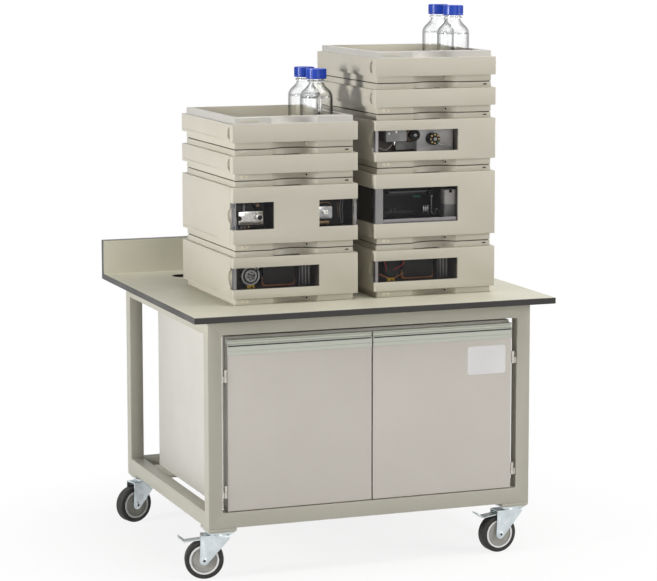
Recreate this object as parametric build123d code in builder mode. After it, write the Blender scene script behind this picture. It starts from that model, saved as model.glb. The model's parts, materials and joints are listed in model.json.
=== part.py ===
from build123d import *
import math
import os

os.makedirs("parts", exist_ok=True)

# All lengths are millimetres.  X runs along the front of the bench, Y runs to its back
# and Z runs up from the floor.

# ---------------------------------------------------------------- driving dimensions
# Worktop and upstand
worktop_width = 987
worktop_depth = 870
worktop_thickness = 16
worktop_edge_break = 1
cable_hole_radius = 30
cable_hole_from_side = 196
cable_hole_from_back = 130
upstand_thickness = 20
upstand_height = 94

# Welded frame
side_overhang = 49.5
front_overhang = 50.5
frame_depth = 751
leg_width = 36.5
leg_depth = 36
rail_height = 40
opening_height = 456
opening_corner_radius = 6
foot_size = 75
foot_thickness = 11.5
foot_step = 4

# Cabinet between the legs
cabinet_side_gap = 15.5
cabinet_board = 16
cabinet_depth = 614
cabinet_top_gap = 7
cabinet_back_board = 6
door_thickness = 16
door_setback = 3
door_bottom_gap = 2.5
door_top_gap = 13
door_centre_gap = 3.5
door_clearance = 2
support_width = 136
support_thickness = 8

# Door pulls, an aluminium profile along the top of each door
pull_height = 39
pull_flange = 1.5
pull_lip_height = 13
pull_groove_depth = 4
pull_fillet = 0.5
pull_bead_radius = 1.3
pull_bead_from_bottom = 9

# Knuckle hinges
hinge_axis_to_door = 5
hinge_axis_depth = 5
knuckle_radius = 4.5
knuckle_height = 32
hinge_pin_radius = 2
hinge_pin_clearance = 0.08
hinge_leaf = 1.5
hinge_leaf_depth = 20
knuckle_gap = 0.4
lower_hinge_height = 51
upper_hinge_height = 349

# Casters
caster_height = 124
wheel_radius = 50
wheel_width = 30
tread_inner_radius = 36
tread_shoulder = 5
trail = 38
swivel_inset = 38
plate_size = 66
plate_thickness = 3
race_radius = 26
race_height = 7
race_taper = 8
race_gap = 0.3
kingpin_radius = 6
kingpin_clearance = 0.3
kingpin_nut_radius = 9
kingpin_nut_height = 5
fork_wall = 2.5
fork_front_reach = 27
fork_back_reach = 47
fork_shoulder = 8
fork_eye_radius = 12
fork_inner_half = 18
axle_radius = 5
axle_clearance = 0.08
axle_head_radius = 8
axle_head_height = 4
hub_rim = 5
hub_boss_radius = 11
hub_web = 7
hub_rib_count = 12
hub_rib_thickness = 2.4
hub_boss_gap = 1
plate_bolt_spacing = 48
plate_bolt_radius = 5.5
plate_bolt_head = 4
front_left_heading = 165
front_right_heading = 185.5
rear_heading = 197

# Brake pedals on the two front casters
pedal_pivot_reach = 40
pedal_pivot_height = 104
pedal_pin_radius = 3
pedal_half_width = 15
pedal_sheet = 2.5
pedal_elbow_reach = 88
pedal_elbow_drop = 6
pedal_tip_reach = 106
pedal_tip_rise = 6

# Instrument modules
module_width = 342
module_depth = 433
height_80 = 80
height_140 = 140
height_180 = 180
height_200 = 200
lower_band_height = 17
upper_band_height = 16.4
band_side_inset = 10.8
band_front_inset = 10.8
band_back_inset = 9
seam_bevel = 0.8
seam_height = 2.2
seam_depth = 5
scoop_start = 0.308
scoop_end = 0.697
scoop_depth = 27
latch_slot_margin = 1
latch_slot_depth = 6
latch_tab_from_middle = 16
latch_tab_width = 18
button_place = 0.62
button_radius = 5
button_length = 8
cover_wrap = 20
cover_wall = 3
cover_corner_radius = 4
cover_gap = 0.4
core_gap = 0.5
groove_width = 1.5
grip_depth = 6
grip_reach = 17
grip_height_tall = 39
grip_height_low = 30
side_groove_height = 1.6
side_groove_depth = 1.5
side_groove_from_bottom = 6
side_groove_share = 0.72
rear_panel_inset = 22
rear_panel_step = 3

# Windows in the covers, measured on the front of the cover
wide_window_share = 0.687
right_window_start = 0.687
left_window_share = 0.327
window_drop_140 = 26
window_height_140 = 56
window_drop_180 = 39
window_height_180 = 69.5
window_drop_200 = 36.7
window_height_200 = 92
window_frame = 7
side_window_reach = 200
compartment_depth = 95
sampler_depth = 215
pane_fit = 0.15

# Solvent trays
tray_rim = 14
tray_front_rim = 46
tray_depth = 65
tray_corner_radius = 8

# Stacks on the worktop
stack_left_margin = 150
stack_spacing = 46
stack_front_margin = 152

# Solvent bottles
bottle_radius = 43
bottle_height = 176
bottle_wall = 2.6
bottle_shoulder = 104
bottle_neck_start = 142
bottle_neck_radius = 20
bottle_neck_lean = 0.35
bottle_foot_radius = 5
cap_radius = 26.8
cap_height = 26
cap_wall = 3
cap_over_top = 3
cap_gap = 0.4
cap_rib_count = 24
cap_rib_radius = 1.6
left_bottles = ((270, 211), (271, 121))
right_bottles = ((268, 219), (273, 129))

# ---------------------------------------------------------------- derived places
foot_bottom = caster_height
rail_bottom = foot_bottom + foot_thickness
opening_bottom = rail_bottom + rail_height
opening_top = opening_bottom + opening_height
worktop_bottom = opening_top + rail_height
worktop_top = worktop_bottom + worktop_thickness

# The origin is the middle of the footprint, which one brake pedal widens at the left.
heading_sine = math.sin(math.radians(front_left_heading))
heading_cosine = math.cos(math.radians(front_left_heading))
pedal_overreach = -(
    side_overhang
    + swivel_inset
    + pedal_tip_reach * heading_cosine
    - pedal_half_width * heading_sine
)
worktop_left = -(worktop_width - pedal_overreach) / 2
worktop_right = worktop_left + worktop_width
worktop_front = -worktop_depth / 2
worktop_back = worktop_depth / 2
frame_left = worktop_left + side_overhang
frame_right = worktop_right - side_overhang
frame_front = worktop_front + front_overhang
frame_back = frame_front + frame_depth
frame_width = frame_right - frame_left
frame_middle = (frame_left + frame_right) / 2
frame_height = worktop_bottom - rail_bottom
opening_left = frame_left + leg_width
opening_right = frame_right - leg_width

cabinet_left = opening_left + cabinet_side_gap
cabinet_right = opening_right - cabinet_side_gap
cabinet_front = frame_front + door_setback + door_thickness + door_clearance
cabinet_back = frame_front + cabinet_depth
cabinet_top = opening_top - cabinet_top_gap

door_front = frame_front + door_setback
door_bottom = opening_bottom + door_bottom_gap
door_top = opening_top - door_top_gap
door_middle = (cabinet_left + cabinet_right) / 2

left_stack = worktop_left + stack_left_margin
right_stack = left_stack + module_width + stack_spacing
stack_front = worktop_front + stack_front_margin

body_start = cover_wrap + groove_width
band_width = module_width - 2 * band_side_inset
scoop_chord = (scoop_end - scoop_start) * band_width
scoop_radius = (scoop_chord**2 / 4 + scoop_depth**2) / (2 * scoop_depth)
scoop_middle = band_side_inset + (scoop_start + scoop_end) / 2 * band_width
scoop_centre_y = stack_front + band_front_inset + scoop_depth - scoop_radius
module_back = stack_front + module_depth


def save(piece, label):
    """Name one finished piece and write it."""
    piece.part.label = label
    export_step(piece.part, f"parts/{label}.step")


# ================================================================ worktop
with BuildPart() as worktop:
    worktop_middle = worktop_left + worktop_width / 2
    with BuildSketch(Plane(origin=(worktop_middle, 0, worktop_bottom))):
        Rectangle(worktop_width, worktop_depth)
        hole_x = worktop_width / 2 - cable_hole_from_side
        hole_y = worktop_depth / 2 - cable_hole_from_back
        with Locations((-hole_x, hole_y), (hole_x, hole_y)):
            Circle(cable_hole_radius, mode=Mode.SUBTRACT)
    extrude(amount=worktop_thickness)
    straight = worktop.edges().filter_by(GeomType.LINE)
    chamfer(straight.filter_by(Axis.Z, reverse=True), worktop_edge_break)
save(worktop, "worktop")

with BuildPart() as upstand:
    with BuildSketch(Plane.YZ.offset(worktop_left)):
        with Locations((worktop_back - upstand_thickness, worktop_top)):
            Rectangle(upstand_thickness, upstand_height, align=Align.MIN)
    extrude(amount=worktop_width)
    chamfer(upstand.edges().filter_by(Axis.X).group_by(Axis.Z)[-1], worktop_edge_break)
save(upstand, "upstand")

# ================================================================ frame


def end_frame(front_y):
    """One welded end of the bench frame: two legs and two rails in one ring."""
    with BuildPart() as ring:
        with BuildSketch(Plane.XZ.offset(-front_y)):
            with Locations((frame_middle, rail_bottom + frame_height / 2)):
                Rectangle(frame_width, frame_height)
            with Locations((frame_middle, opening_bottom + opening_height / 2)):
                RectangleRounded(
                    opening_right - opening_left,
                    opening_height,
                    opening_corner_radius,
                    mode=Mode.SUBTRACT,
                )
        extrude(amount=-leg_depth)
        chamfer(ring.edges().filter_by(Axis.Z).group_by(Axis.X)[0], worktop_edge_break)
        chamfer(ring.edges().filter_by(Axis.Z).group_by(Axis.X)[-1], worktop_edge_break)
    return ring


front_frame = end_frame(frame_front)
save(front_frame, "front_frame")
rear_frame = end_frame(frame_back - leg_depth)
save(rear_frame, "rear_frame")

side_rail_length = frame_depth - 2 * leg_depth
with BuildPart() as side_rails:
    with BuildSketch(Plane.XZ.offset(-(frame_front + leg_depth))):
        rail_spots = [
            (x, z)
            for x in (frame_left, frame_right - leg_width)
            for z in (rail_bottom, opening_top)
        ]
        with Locations(*rail_spots):
            Rectangle(leg_width, rail_height, align=Align.MIN)
    extrude(amount=-side_rail_length)
save(side_rails, "side_rails")

foot_places = [
    (x, y)
    for x in (frame_left + foot_size / 2, frame_right - foot_size / 2)
    for y in (frame_front + foot_size / 2, frame_back - foot_size / 2)
]
with BuildPart() as caster_feet:
    with BuildSketch(Plane.XY.offset(foot_bottom)):
        with Locations(*foot_places):
            Rectangle(foot_size, foot_size)
    extrude(amount=foot_thickness)
    chamfer(caster_feet.edges().group_by(Axis.Z)[0], foot_step)
save(caster_feet, "caster_feet")

# ================================================================ cabinet
cabinet_width = cabinet_right - cabinet_left
cabinet_height = cabinet_top - opening_bottom
with BuildPart() as cabinet_shell:
    with BuildSketch(Plane.XZ.offset(-cabinet_front)):
        with Locations((cabinet_left, opening_bottom)):
            Rectangle(cabinet_width, cabinet_height, align=Align.MIN)
    extrude(amount=-(cabinet_back - cabinet_front))
    with BuildSketch(Plane.XZ.offset(-cabinet_front)):
        with Locations((cabinet_left + cabinet_board, opening_bottom + cabinet_board)):
            Rectangle(
                cabinet_width - 2 * cabinet_board,
                cabinet_height - 2 * cabinet_board,
                align=Align.MIN,
            )
    extrude(
        amount=-(cabinet_back - cabinet_front - cabinet_back_board),
        mode=Mode.SUBTRACT,
    )
save(cabinet_shell, "cabinet_shell")

with BuildPart() as cabinet_support:
    with BuildSketch(Plane.XZ.offset(-(cabinet_back - support_width))):
        with Locations((opening_left, opening_bottom - support_thickness)):
            Rectangle(opening_right - opening_left, support_thickness, align=Align.MIN)
    extrude(amount=-support_width)
save(cabinet_support, "cabinet_support")

# ================================================================ doors
door_leaf_width = (cabinet_right - cabinet_left - door_centre_gap) / 2


def door_panel(left_x):
    """A flat door; the pull covers its upper edge."""
    with BuildPart() as panel:
        with BuildSketch(Plane.XZ.offset(-door_front)):
            with Locations((left_x, door_bottom)):
                Rectangle(
                    door_leaf_width,
                    door_top - pull_lip_height - door_bottom,
                    align=Align.MIN,
                )
        extrude(amount=-door_thickness)
        front_edges = panel.edges().group_by(Axis.Y)[0]
        chamfer(front_edges.filter_by(Axis.Z), worktop_edge_break)
    return panel


def door_pull(left_x):
    """The pull: a flange down the door face, a bead, a finger groove and a rolled lip."""
    face = door_front
    flange_face = face - pull_flange
    lip_bottom = door_top - pull_lip_height
    lip_radius = pull_flange
    groove_top = door_top - 2 * lip_radius
    groove_bottom = lip_bottom + pull_fillet
    with BuildPart() as pull:
        with BuildSketch(Plane.YZ.offset(left_x)):
            with BuildLine():
                Polyline(
                    (flange_face, groove_bottom),
                    (flange_face, door_top - pull_height),
                    (face, door_top - pull_height),
                    (face, lip_bottom),
                    (face + door_thickness, lip_bottom),
                    (face + door_thickness, door_top),
                    (flange_face, door_top),
                )
                ThreePointArc(
                    (flange_face, door_top),
                    (flange_face - lip_radius, door_top - lip_radius),
                    (flange_face, groove_top),
                )
                ThreePointArc(
                    (flange_face, groove_top),
                    (flange_face + pull_groove_depth, (groove_top + groove_bottom) / 2),
                    (flange_face, groove_bottom),
                )
            make_face()
            with Locations(
                (face - pull_flange, door_top - pull_height + pull_bead_from_bottom)
            ):
                Circle(pull_bead_radius)
        extrude(amount=door_leaf_width)
    return pull


left_door = door_panel(cabinet_left)
save(left_door, "left_door")
right_door_x = cabinet_right - door_leaf_width
right_door = door_panel(right_door_x)
save(right_door, "right_door")
left_door_pull = door_pull(cabinet_left)
save(left_door_pull, "left_door_pull")
right_door_pull = door_pull(right_door_x)
save(right_door_pull, "right_door_pull")

hinge_y = frame_front + hinge_axis_depth
left_hinge_x = cabinet_left - hinge_axis_to_door
right_hinge_x = cabinet_right + hinge_axis_to_door
hinge_heights = (door_bottom + lower_hinge_height, door_bottom + upper_hinge_height)
knuckle_share = (knuckle_height - knuckle_gap) / 2

with BuildPart() as hinge_plates:
    for axis_x, leg_x, side in (
        (left_hinge_x, opening_left, 1),
        (right_hinge_x, opening_right, -1),
    ):
        for centre in hinge_heights:
            base = centre - knuckle_height / 2
            with BuildSketch(Plane.XY.offset(base)):
                with Locations((axis_x, hinge_y)):
                    Circle(knuckle_radius)
                with Locations(((axis_x + leg_x) / 2, hinge_y)):
                    Rectangle(abs(axis_x - leg_x), hinge_leaf)
            extrude(amount=knuckle_share)
            with BuildSketch(Plane.XY.offset(base)):
                with Locations((leg_x + side * hinge_leaf / 2, hinge_y)):
                    Rectangle(hinge_leaf, hinge_leaf_depth, align=(Align.CENTER, Align.MIN))
            extrude(amount=knuckle_height)
            with BuildSketch(Plane.XY.offset(base)):
                with Locations((axis_x, hinge_y)):
                    Circle(hinge_pin_radius)
            extrude(amount=knuckle_height)
save(hinge_plates, "hinge_plates")


def door_hinges(axis_x, side):
    """The two moving knuckles of a door, each with its leaf on the door's edge."""
    with BuildPart() as knuckles:
        for centre in hinge_heights:
            base = centre + knuckle_height / 2 - knuckle_share
            leaf_x = axis_x + side * (hinge_axis_to_door - hinge_leaf / 2)
            with BuildSketch(Plane.XY.offset(base)):
                with Locations((axis_x, hinge_y)):
                    Circle(knuckle_radius)
                with Locations((leaf_x, hinge_y)):
                    Rectangle(hinge_leaf, hinge_axis_depth * 2, align=(Align.CENTER, Align.MIN))
                with Locations(((axis_x + leaf_x) / 2, hinge_y + hinge_leaf / 2)):
                    Rectangle(abs(leaf_x - axis_x), hinge_leaf)
                with Locations((axis_x, hinge_y)):
                    Circle(hinge_pin_radius + hinge_pin_clearance, mode=Mode.SUBTRACT)
            extrude(amount=knuckle_share)
    return knuckles


left_door_hinges = door_hinges(left_hinge_x, 1)
save(left_door_hinges, "left_door_hinges")
right_door_hinges = door_hinges(right_hinge_x, -1)
save(right_door_hinges, "right_door_hinges")

# ================================================================ casters
swivel_left = frame_left + swivel_inset
swivel_right = frame_right - swivel_inset
swivel_front = frame_front + swivel_inset
swivel_rear = frame_back - swivel_inset
casters = {
    "front_left": (swivel_left, swivel_front, front_left_heading, True),
    "front_right": (swivel_right, swivel_front, front_right_heading, True),
    "rear_left": (swivel_left, swivel_rear, rear_heading, False),
    "rear_right": (swivel_right, swivel_rear, rear_heading, False),
}
plate_bottom = caster_height - plate_thickness
race_bottom = plate_bottom - race_height
fork_top = race_bottom - race_gap
crown_bottom = fork_top - fork_wall
nut_top = crown_bottom - race_gap
nut_bottom = nut_top - kingpin_nut_height

with BuildPart() as caster_plates:
    for x, y, heading, braked in casters.values():
        with BuildSketch(Plane.XY.offset(plate_bottom)):
            with Locations((x, y)):
                RectangleRounded(plate_size, plate_size, tread_shoulder)
        extrude(amount=plate_thickness)
        with BuildSketch(Plane.XY.offset(race_bottom)):
            with Locations((x, y)):
                Circle(race_radius)
        extrude(amount=race_height, taper=race_taper)
        with BuildSketch(Plane.XY.offset(nut_bottom)):
            with Locations((x, y)):
                Circle(kingpin_radius)
        extrude(amount=plate_bottom - nut_bottom)
        with BuildSketch(Plane.XY.offset(nut_bottom)):
            with Locations((x, y)):
                RegularPolygon(kingpin_nut_radius, 6)
        extrude(amount=kingpin_nut_height)
        with BuildSketch(Plane.XY.offset(plate_bottom - plate_bolt_head)):
            with Locations((x, y)):
                with GridLocations(plate_bolt_spacing, plate_bolt_spacing, 2, 2):
                    RegularPolygon(plate_bolt_radius, 6)
        extrude(amount=plate_bolt_head)
save(caster_plates, "caster_plates")


def trail_plane(x, y, heading, sideways):
    """Upright plane through a swivel axis: its X is the trail, its Y is up."""
    along = Vector(
        math.cos(math.radians(heading)), math.sin(math.radians(heading)), 0
    )
    across = Vector(along.Y, -along.X, 0)
    return Plane(origin=Vector(x, y, 0) + across * sideways, x_dir=along, z_dir=across)


def caster_fork(x, y, heading, braked):
    """Pressed fork: a crown under the race, two cheeks and the axle bolt."""
    with BuildPart() as fork:
        for side in (-fork_inner_half - fork_wall, fork_inner_half):
            with BuildSketch(trail_plane(x, y, heading, side)):
                with Locations((trail, wheel_radius)):
                    Circle(fork_eye_radius)
                shoulder_middle = (fork_back_reach - fork_front_reach) / 2
                with Locations((shoulder_middle, fork_top - fork_shoulder / 2)):
                    Rectangle(fork_back_reach + fork_front_reach, fork_shoulder)
                make_hull()
                if braked:
                    with Locations((pedal_pivot_reach, pedal_pivot_height)):
                        Circle(
                            pedal_pin_radius + hinge_pin_clearance, mode=Mode.SUBTRACT
                        )
            extrude(amount=fork_wall)
        crown_plane = Plane(
            origin=(x, y, crown_bottom),
            x_dir=trail_plane(x, y, heading, 0).x_dir,
            z_dir=(0, 0, 1),
        )
        with BuildSketch(crown_plane):
            with Locations((shoulder_middle, 0)):
                Rectangle(
                    fork_back_reach + fork_front_reach,
                    2 * (fork_inner_half + fork_wall),
                )
            Circle(kingpin_radius + kingpin_clearance, mode=Mode.SUBTRACT)
        extrude(amount=fork_wall)
        half_bolt = fork_inner_half + fork_wall
        with BuildSketch(trail_plane(x, y, heading, -half_bolt)):
            with Locations((trail, wheel_radius)):
                Circle(axle_radius)
        extrude(amount=2 * half_bolt)
        for side in (-half_bolt - axle_head_height, half_bolt):
            with BuildSketch(trail_plane(x, y, heading, side)):
                with Locations((trail, wheel_radius)):
                    RegularPolygon(axle_head_radius, 6)
            extrude(amount=axle_head_height)
    return fork


def caster_hub(x, y, heading):
    """Moulded wheel centre: rim, web, boss and ribs."""
    with BuildPart() as hub:
        with BuildSketch(trail_plane(x, y, heading, -wheel_width / 2)):
            with Locations((trail, wheel_radius)):
                Circle(tread_inner_radius)
                Circle(tread_inner_radius - hub_rim, mode=Mode.SUBTRACT)
        extrude(amount=wheel_width)
        with BuildSketch(trail_plane(x, y, heading, -hub_web / 2)):
            with Locations((trail, wheel_radius)):
                Circle(tread_inner_radius - hub_rim / 2)
        extrude(amount=hub_web)
        boss_half = fork_inner_half - hub_boss_gap
        with BuildSketch(trail_plane(x, y, heading, -boss_half)):
            with Locations((trail, wheel_radius)):
                Circle(hub_boss_radius)
        extrude(amount=2 * boss_half)
        rib_width = wheel_width - 2 * hub_rib_thickness
        with BuildSketch(trail_plane(x, y, heading, -rib_width / 2)):
            with Locations((trail, wheel_radius)):
                with PolarLocations(
                    (hub_boss_radius + tread_inner_radius - hub_rim) / 2, hub_rib_count
                ):
                    Rectangle(
                        tread_inner_radius - hub_rim / 2 - hub_boss_radius,
                        hub_rib_thickness,
                    )
        extrude(amount=rib_width)
        with BuildSketch(trail_plane(x, y, heading, -boss_half)):
            with Locations((trail, wheel_radius)):
                Circle(axle_radius + axle_clearance)
        extrude(amount=2 * boss_half, mode=Mode.SUBTRACT)
    return hub


def caster_tyre(x, y, heading):
    """Solid rubber tread with rounded shoulders."""
    with BuildPart() as tyre:
        with BuildSketch(trail_plane(x, y, heading, -wheel_width / 2)):
            with Locations((trail, wheel_radius)):
                Circle(wheel_radius)
                Circle(tread_inner_radius, mode=Mode.SUBTRACT)
        extrude(amount=wheel_width)
        fillet(
            tyre.edges().filter_by(GeomType.CIRCLE).sort_by(SortBy.RADIUS)[-2:],
            tread_shoulder,
        )
    return tyre


def brake_pedal(x, y, heading):
    """Brake lever: a channel on a cross pin, cranked down and up again to its tip."""
    with BuildPart() as pedal:
        with BuildSketch(trail_plane(x, y, heading, -pedal_half_width)):
            with BuildLine():
                spine = Polyline(
                    (pedal_pivot_reach - pedal_pin_radius, pedal_pivot_height),
                    (pedal_elbow_reach, pedal_pivot_height - pedal_elbow_drop),
                    (pedal_tip_reach - pedal_sheet, pedal_pivot_height + pedal_tip_rise),
                )
                offset(spine, amount=pedal_sheet / 2, kind=Kind.INTERSECTION)
            make_face()
        extrude(amount=2 * pedal_half_width)
        pin_half = fork_inner_half + fork_wall
        with BuildSketch(trail_plane(x, y, heading, -pin_half)):
            with Locations((pedal_pivot_reach, pedal_pivot_height)):
                Circle(pedal_pin_radius)
        extrude(amount=2 * pin_half)
    return pedal


for corner, (x, y, heading, braked) in casters.items():
    save(caster_fork(x, y, heading, braked), f"{corner}_fork")
    save(caster_hub(x, y, heading), f"{corner}_hub")
    save(caster_tyre(x, y, heading), f"{corner}_tyre")
    if braked:
        save(brake_pedal(x, y, heading), f"{corner}_pedal")

# ================================================================ instrument modules
# Each module: name, stack, height, windows as (start, end, drop, height) on the cover.
window_140 = (0, wide_window_share, window_drop_140, window_height_140)
window_200 = (0, wide_window_share, window_drop_200, window_height_200)
windows_180 = [
    (0, left_window_share, window_drop_180, window_height_180),
    (right_window_start, 1, window_drop_180, window_height_180),
]
left_modules = [
    ("column_oven_left", height_140, [window_140]),
    ("pump", height_180, windows_180),
    ("degasser_left", height_80, []),
]
right_modules = [
    ("column_oven_right", height_140, [window_140]),
    ("sampler", height_200, [window_200]),
    ("detector", height_140, [window_140]),
    ("degasser_right", height_80, []),
]


def box_between(low, high):
    """A plain block between two corners, added or cut in the part being built."""
    centre = [(a + b) / 2 for a, b in zip(low, high)]
    return Pos(*centre) * Box(*(b - a for a, b in zip(low, high)), mode=Mode.PRIVATE)


def band_plan(left_x):
    """Plan of an inset band with the finger scoop in its front."""
    with BuildSketch() as plan:
        with Locations((left_x + band_side_inset, stack_front + band_front_inset)):
            Rectangle(
                band_width,
                module_depth - band_front_inset - band_back_inset,
                align=Align.MIN,
            )
        with Locations((left_x + scoop_middle, scoop_centre_y)):
            Circle(scoop_radius, mode=Mode.SUBTRACT)
    return plan.sketch


def bands(left_x, base, height, seam):
    """Lower and upper band; the next module's seam is a rebate round the top of the upper."""
    with BuildPart() as pair:
        for bottom, thickness in (
            (base, lower_band_height),
            (base + height - upper_band_height, upper_band_height - seam),
        ):
            with BuildSketch(Plane.XY.offset(bottom)):
                add(band_plan(left_x))
            extrude(amount=thickness)
        chamfer(pair.faces().sort_by(Axis.Z)[0].edges(), seam_bevel)
        chamfer(pair.faces().sort_by(Axis.Z)[-1].edges(), seam_bevel)
        if seam:
            with BuildSketch(Plane.XY.offset(base + height - seam)):
                add(band_plan(left_x))
                offset(amount=-seam_depth, kind=Kind.INTERSECTION, mode=Mode.REPLACE)
            extrude(amount=seam)
    return pair.part


def latch_slot(left_x, body_top):
    """Slot in the floor of the upper scoop, for the fingers that free the cover."""
    with BuildPart() as slot:
        with BuildSketch(Plane.XY.offset(body_top)):
            with Locations((left_x + scoop_middle, scoop_centre_y)):
                Circle(scoop_radius - latch_slot_margin)
            with Locations((left_x + scoop_middle, stack_front + body_start + cover_wall)):
                Rectangle(
                    scoop_chord,
                    scoop_radius,
                    align=(Align.CENTER, Align.MIN),
                    mode=Mode.INTERSECT,
                )
            with Locations((left_x + scoop_middle + latch_tab_from_middle, stack_front)):
                Rectangle(
                    latch_tab_width,
                    module_depth,
                    align=(Align.MIN, Align.MIN),
                    mode=Mode.SUBTRACT,
                )
        extrude(amount=-latch_slot_depth)
    return slot.part


def power_button(left_x, base):
    """Round button that stands out of the lower scoop."""
    from_middle = (button_place - (scoop_start + scoop_end) / 2) * band_width
    surface_y = scoop_centre_y + math.sqrt(scoop_radius**2 - from_middle**2)
    button_start = surface_y - button_length / 4
    button_x = left_x + scoop_middle + from_middle
    with BuildPart() as button:
        with BuildSketch(Plane.XZ.offset(-button_start)):
            with Locations((button_x, base + lower_band_height / 2)):
                Circle(button_radius)
        extrude(amount=-button_length)
    return button.part


def side_details(left_x, base, height, grips):
    """What is cut from the sides and back: finger grips, thin grooves, rear step."""
    body_bottom = base + lower_band_height
    body_top = base + height - upper_band_height
    grip_height = grip_height_low if height == height_80 else grip_height_tall
    grip_radius = (grip_height**2 / 4 + grip_reach**2) / (2 * grip_reach)
    grip_y = stack_front + body_start
    grip_z = (body_bottom + body_top) / 2
    groove_length = side_groove_share * module_depth
    groove_z = body_bottom + side_groove_from_bottom
    with BuildPart() as cuts:
        for face_x, inward in ((left_x, 1), (left_x + module_width, -1)):
            if grips:
                with BuildSketch(Plane.YZ.offset(face_x)):
                    with Locations((grip_y + grip_reach - grip_radius, grip_z)):
                        Circle(grip_radius)
                    with Locations((grip_y, grip_z)):
                        Rectangle(
                            4 * grip_radius,
                            2 * grip_radius,
                            align=(Align.MAX, Align.CENTER),
                            mode=Mode.SUBTRACT,
                        )
                extrude(amount=inward * grip_depth)
            inner_x = face_x + inward * side_groove_depth
            groove = box_between(
                (min(face_x, inner_x), module_back - groove_length, groove_z),
                (max(face_x, inner_x), module_back, groove_z + side_groove_height),
            )
            add(groove)
        rear = box_between(
            (
                left_x + rear_panel_inset,
                module_back - rear_panel_step,
                body_bottom + cover_wall,
            ),
            (left_x + module_width - rear_panel_inset, module_back, body_top - cover_wall),
        )
        add(rear)
    return cuts.part


def window_levels(base, height, drop, window_height):
    """Lowest and highest level of a window, from the top of its cover."""
    window_top = base + height - upper_band_height - cover_gap - drop
    return window_top - window_height, window_top


def module_housing(left_x, base, height, windows, has_side_window):
    """Housing: two bands, the body and the neck that the cover sits on."""
    body_bottom = base + lower_band_height
    body_top = base + height - upper_band_height
    neck = cover_wall + core_gap
    depth = sampler_depth if has_side_window else compartment_depth
    side_wall = neck + window_frame / 2
    with BuildPart() as housing:
        add(bands(left_x, base, height, seam_height))
        body = box_between(
            (left_x, stack_front + body_start, body_bottom),
            (left_x + module_width, stack_front + module_depth, body_top),
        )
        add(body)
        core = box_between(
            (left_x + neck, stack_front + neck, body_bottom + cover_gap + neck),
            (
                left_x + module_width - neck,
                stack_front + body_start,
                body_top - cover_gap - neck,
            ),
        )
        add(core)
        add(power_button(left_x, base))
        add(side_details(left_x, base, height, not has_side_window), mode=Mode.SUBTRACT)
        add(latch_slot(left_x, body_top), mode=Mode.SUBTRACT)
        for start, end, drop, window_height in windows:
            low, high = window_levels(base, height, drop, window_height)
            start_x = left_x + max(start * module_width, side_wall)
            end_x = left_x + min(end * module_width + window_frame, module_width - side_wall)
            room = box_between(
                (start_x, stack_front, low - window_frame),
                (end_x, stack_front + depth, high + window_frame),
            )
            add(room, mode=Mode.SUBTRACT)
            for at_edge, edge_x in ((start == 0, left_x), (end == 1, left_x + module_width)):
                if at_edge:
                    mouth = box_between(
                        (edge_x - side_wall, stack_front, low),
                        (edge_x + side_wall, stack_front + body_start, high),
                    )
                    add(mouth, mode=Mode.SUBTRACT)
            if has_side_window:
                side = box_between(
                    (left_x - side_wall, stack_front + body_start, low),
                    (start_x, stack_front + body_start + side_window_reach - cover_wrap, high),
                )
                add(side, mode=Mode.SUBTRACT)
    return housing


def cover_plan(left_x):
    """Plan of a cover: a shallow block with its two front corners rounded."""
    with BuildSketch(mode=Mode.PRIVATE) as plan:
        with Locations((left_x, stack_front)):
            Rectangle(module_width, cover_wrap, align=Align.MIN)
        fillet(plan.vertices().group_by(Axis.Y)[0], cover_corner_radius)
    return plan.sketch


def front_cover(left_x, base, height, windows):
    """Front cover: a shallow shell, open at the back, with its window openings."""
    bottom = base + lower_band_height + cover_gap
    top = base + height - upper_band_height - cover_gap
    with BuildPart() as cover:
        with BuildSketch(Plane.XY.offset(bottom)):
            add(cover_plan(left_x))
        extrude(amount=top - bottom)
        inside = box_between(
            (left_x + cover_wall, stack_front + cover_wall, bottom + cover_wall),
            (left_x + module_width - cover_wall, stack_front + cover_wrap, top - cover_wall),
        )
        add(inside, mode=Mode.SUBTRACT)
        for start, end, drop, window_height in windows:
            low, high = window_levels(base, height, drop, window_height)
            opening = box_between(
                (left_x + start * module_width, stack_front, low),
                (left_x + end * module_width, stack_front + cover_wrap, high),
            )
            add(opening, mode=Mode.SUBTRACT)
    return cover


def window_panes(left_x, base, height, windows):
    """Clear panes let into the cover; at a corner the pane wraps round the side."""
    with BuildPart() as panes:
        for start, end, drop, window_height in windows:
            low, high = window_levels(base, height, drop, window_height)
            start_x = left_x + start * module_width + (pane_fit if start > 0 else 0)
            end_x = left_x + end * module_width - (pane_fit if end < 1 else 0)
            with BuildSketch(Plane.XY.offset(low + pane_fit)):
                add(cover_plan(left_x))
                with Locations((left_x + cover_wall, stack_front + cover_wall)):
                    Rectangle(
                        module_width - 2 * cover_wall,
                        cover_wrap,
                        align=Align.MIN,
                        mode=Mode.SUBTRACT,
                    )
                with Locations((start_x, stack_front)):
                    Rectangle(
                        end_x - start_x,
                        cover_wrap,
                        align=Align.MIN,
                        mode=Mode.INTERSECT,
                    )
            extrude(amount=high - low - 2 * pane_fit)
    return panes


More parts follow.
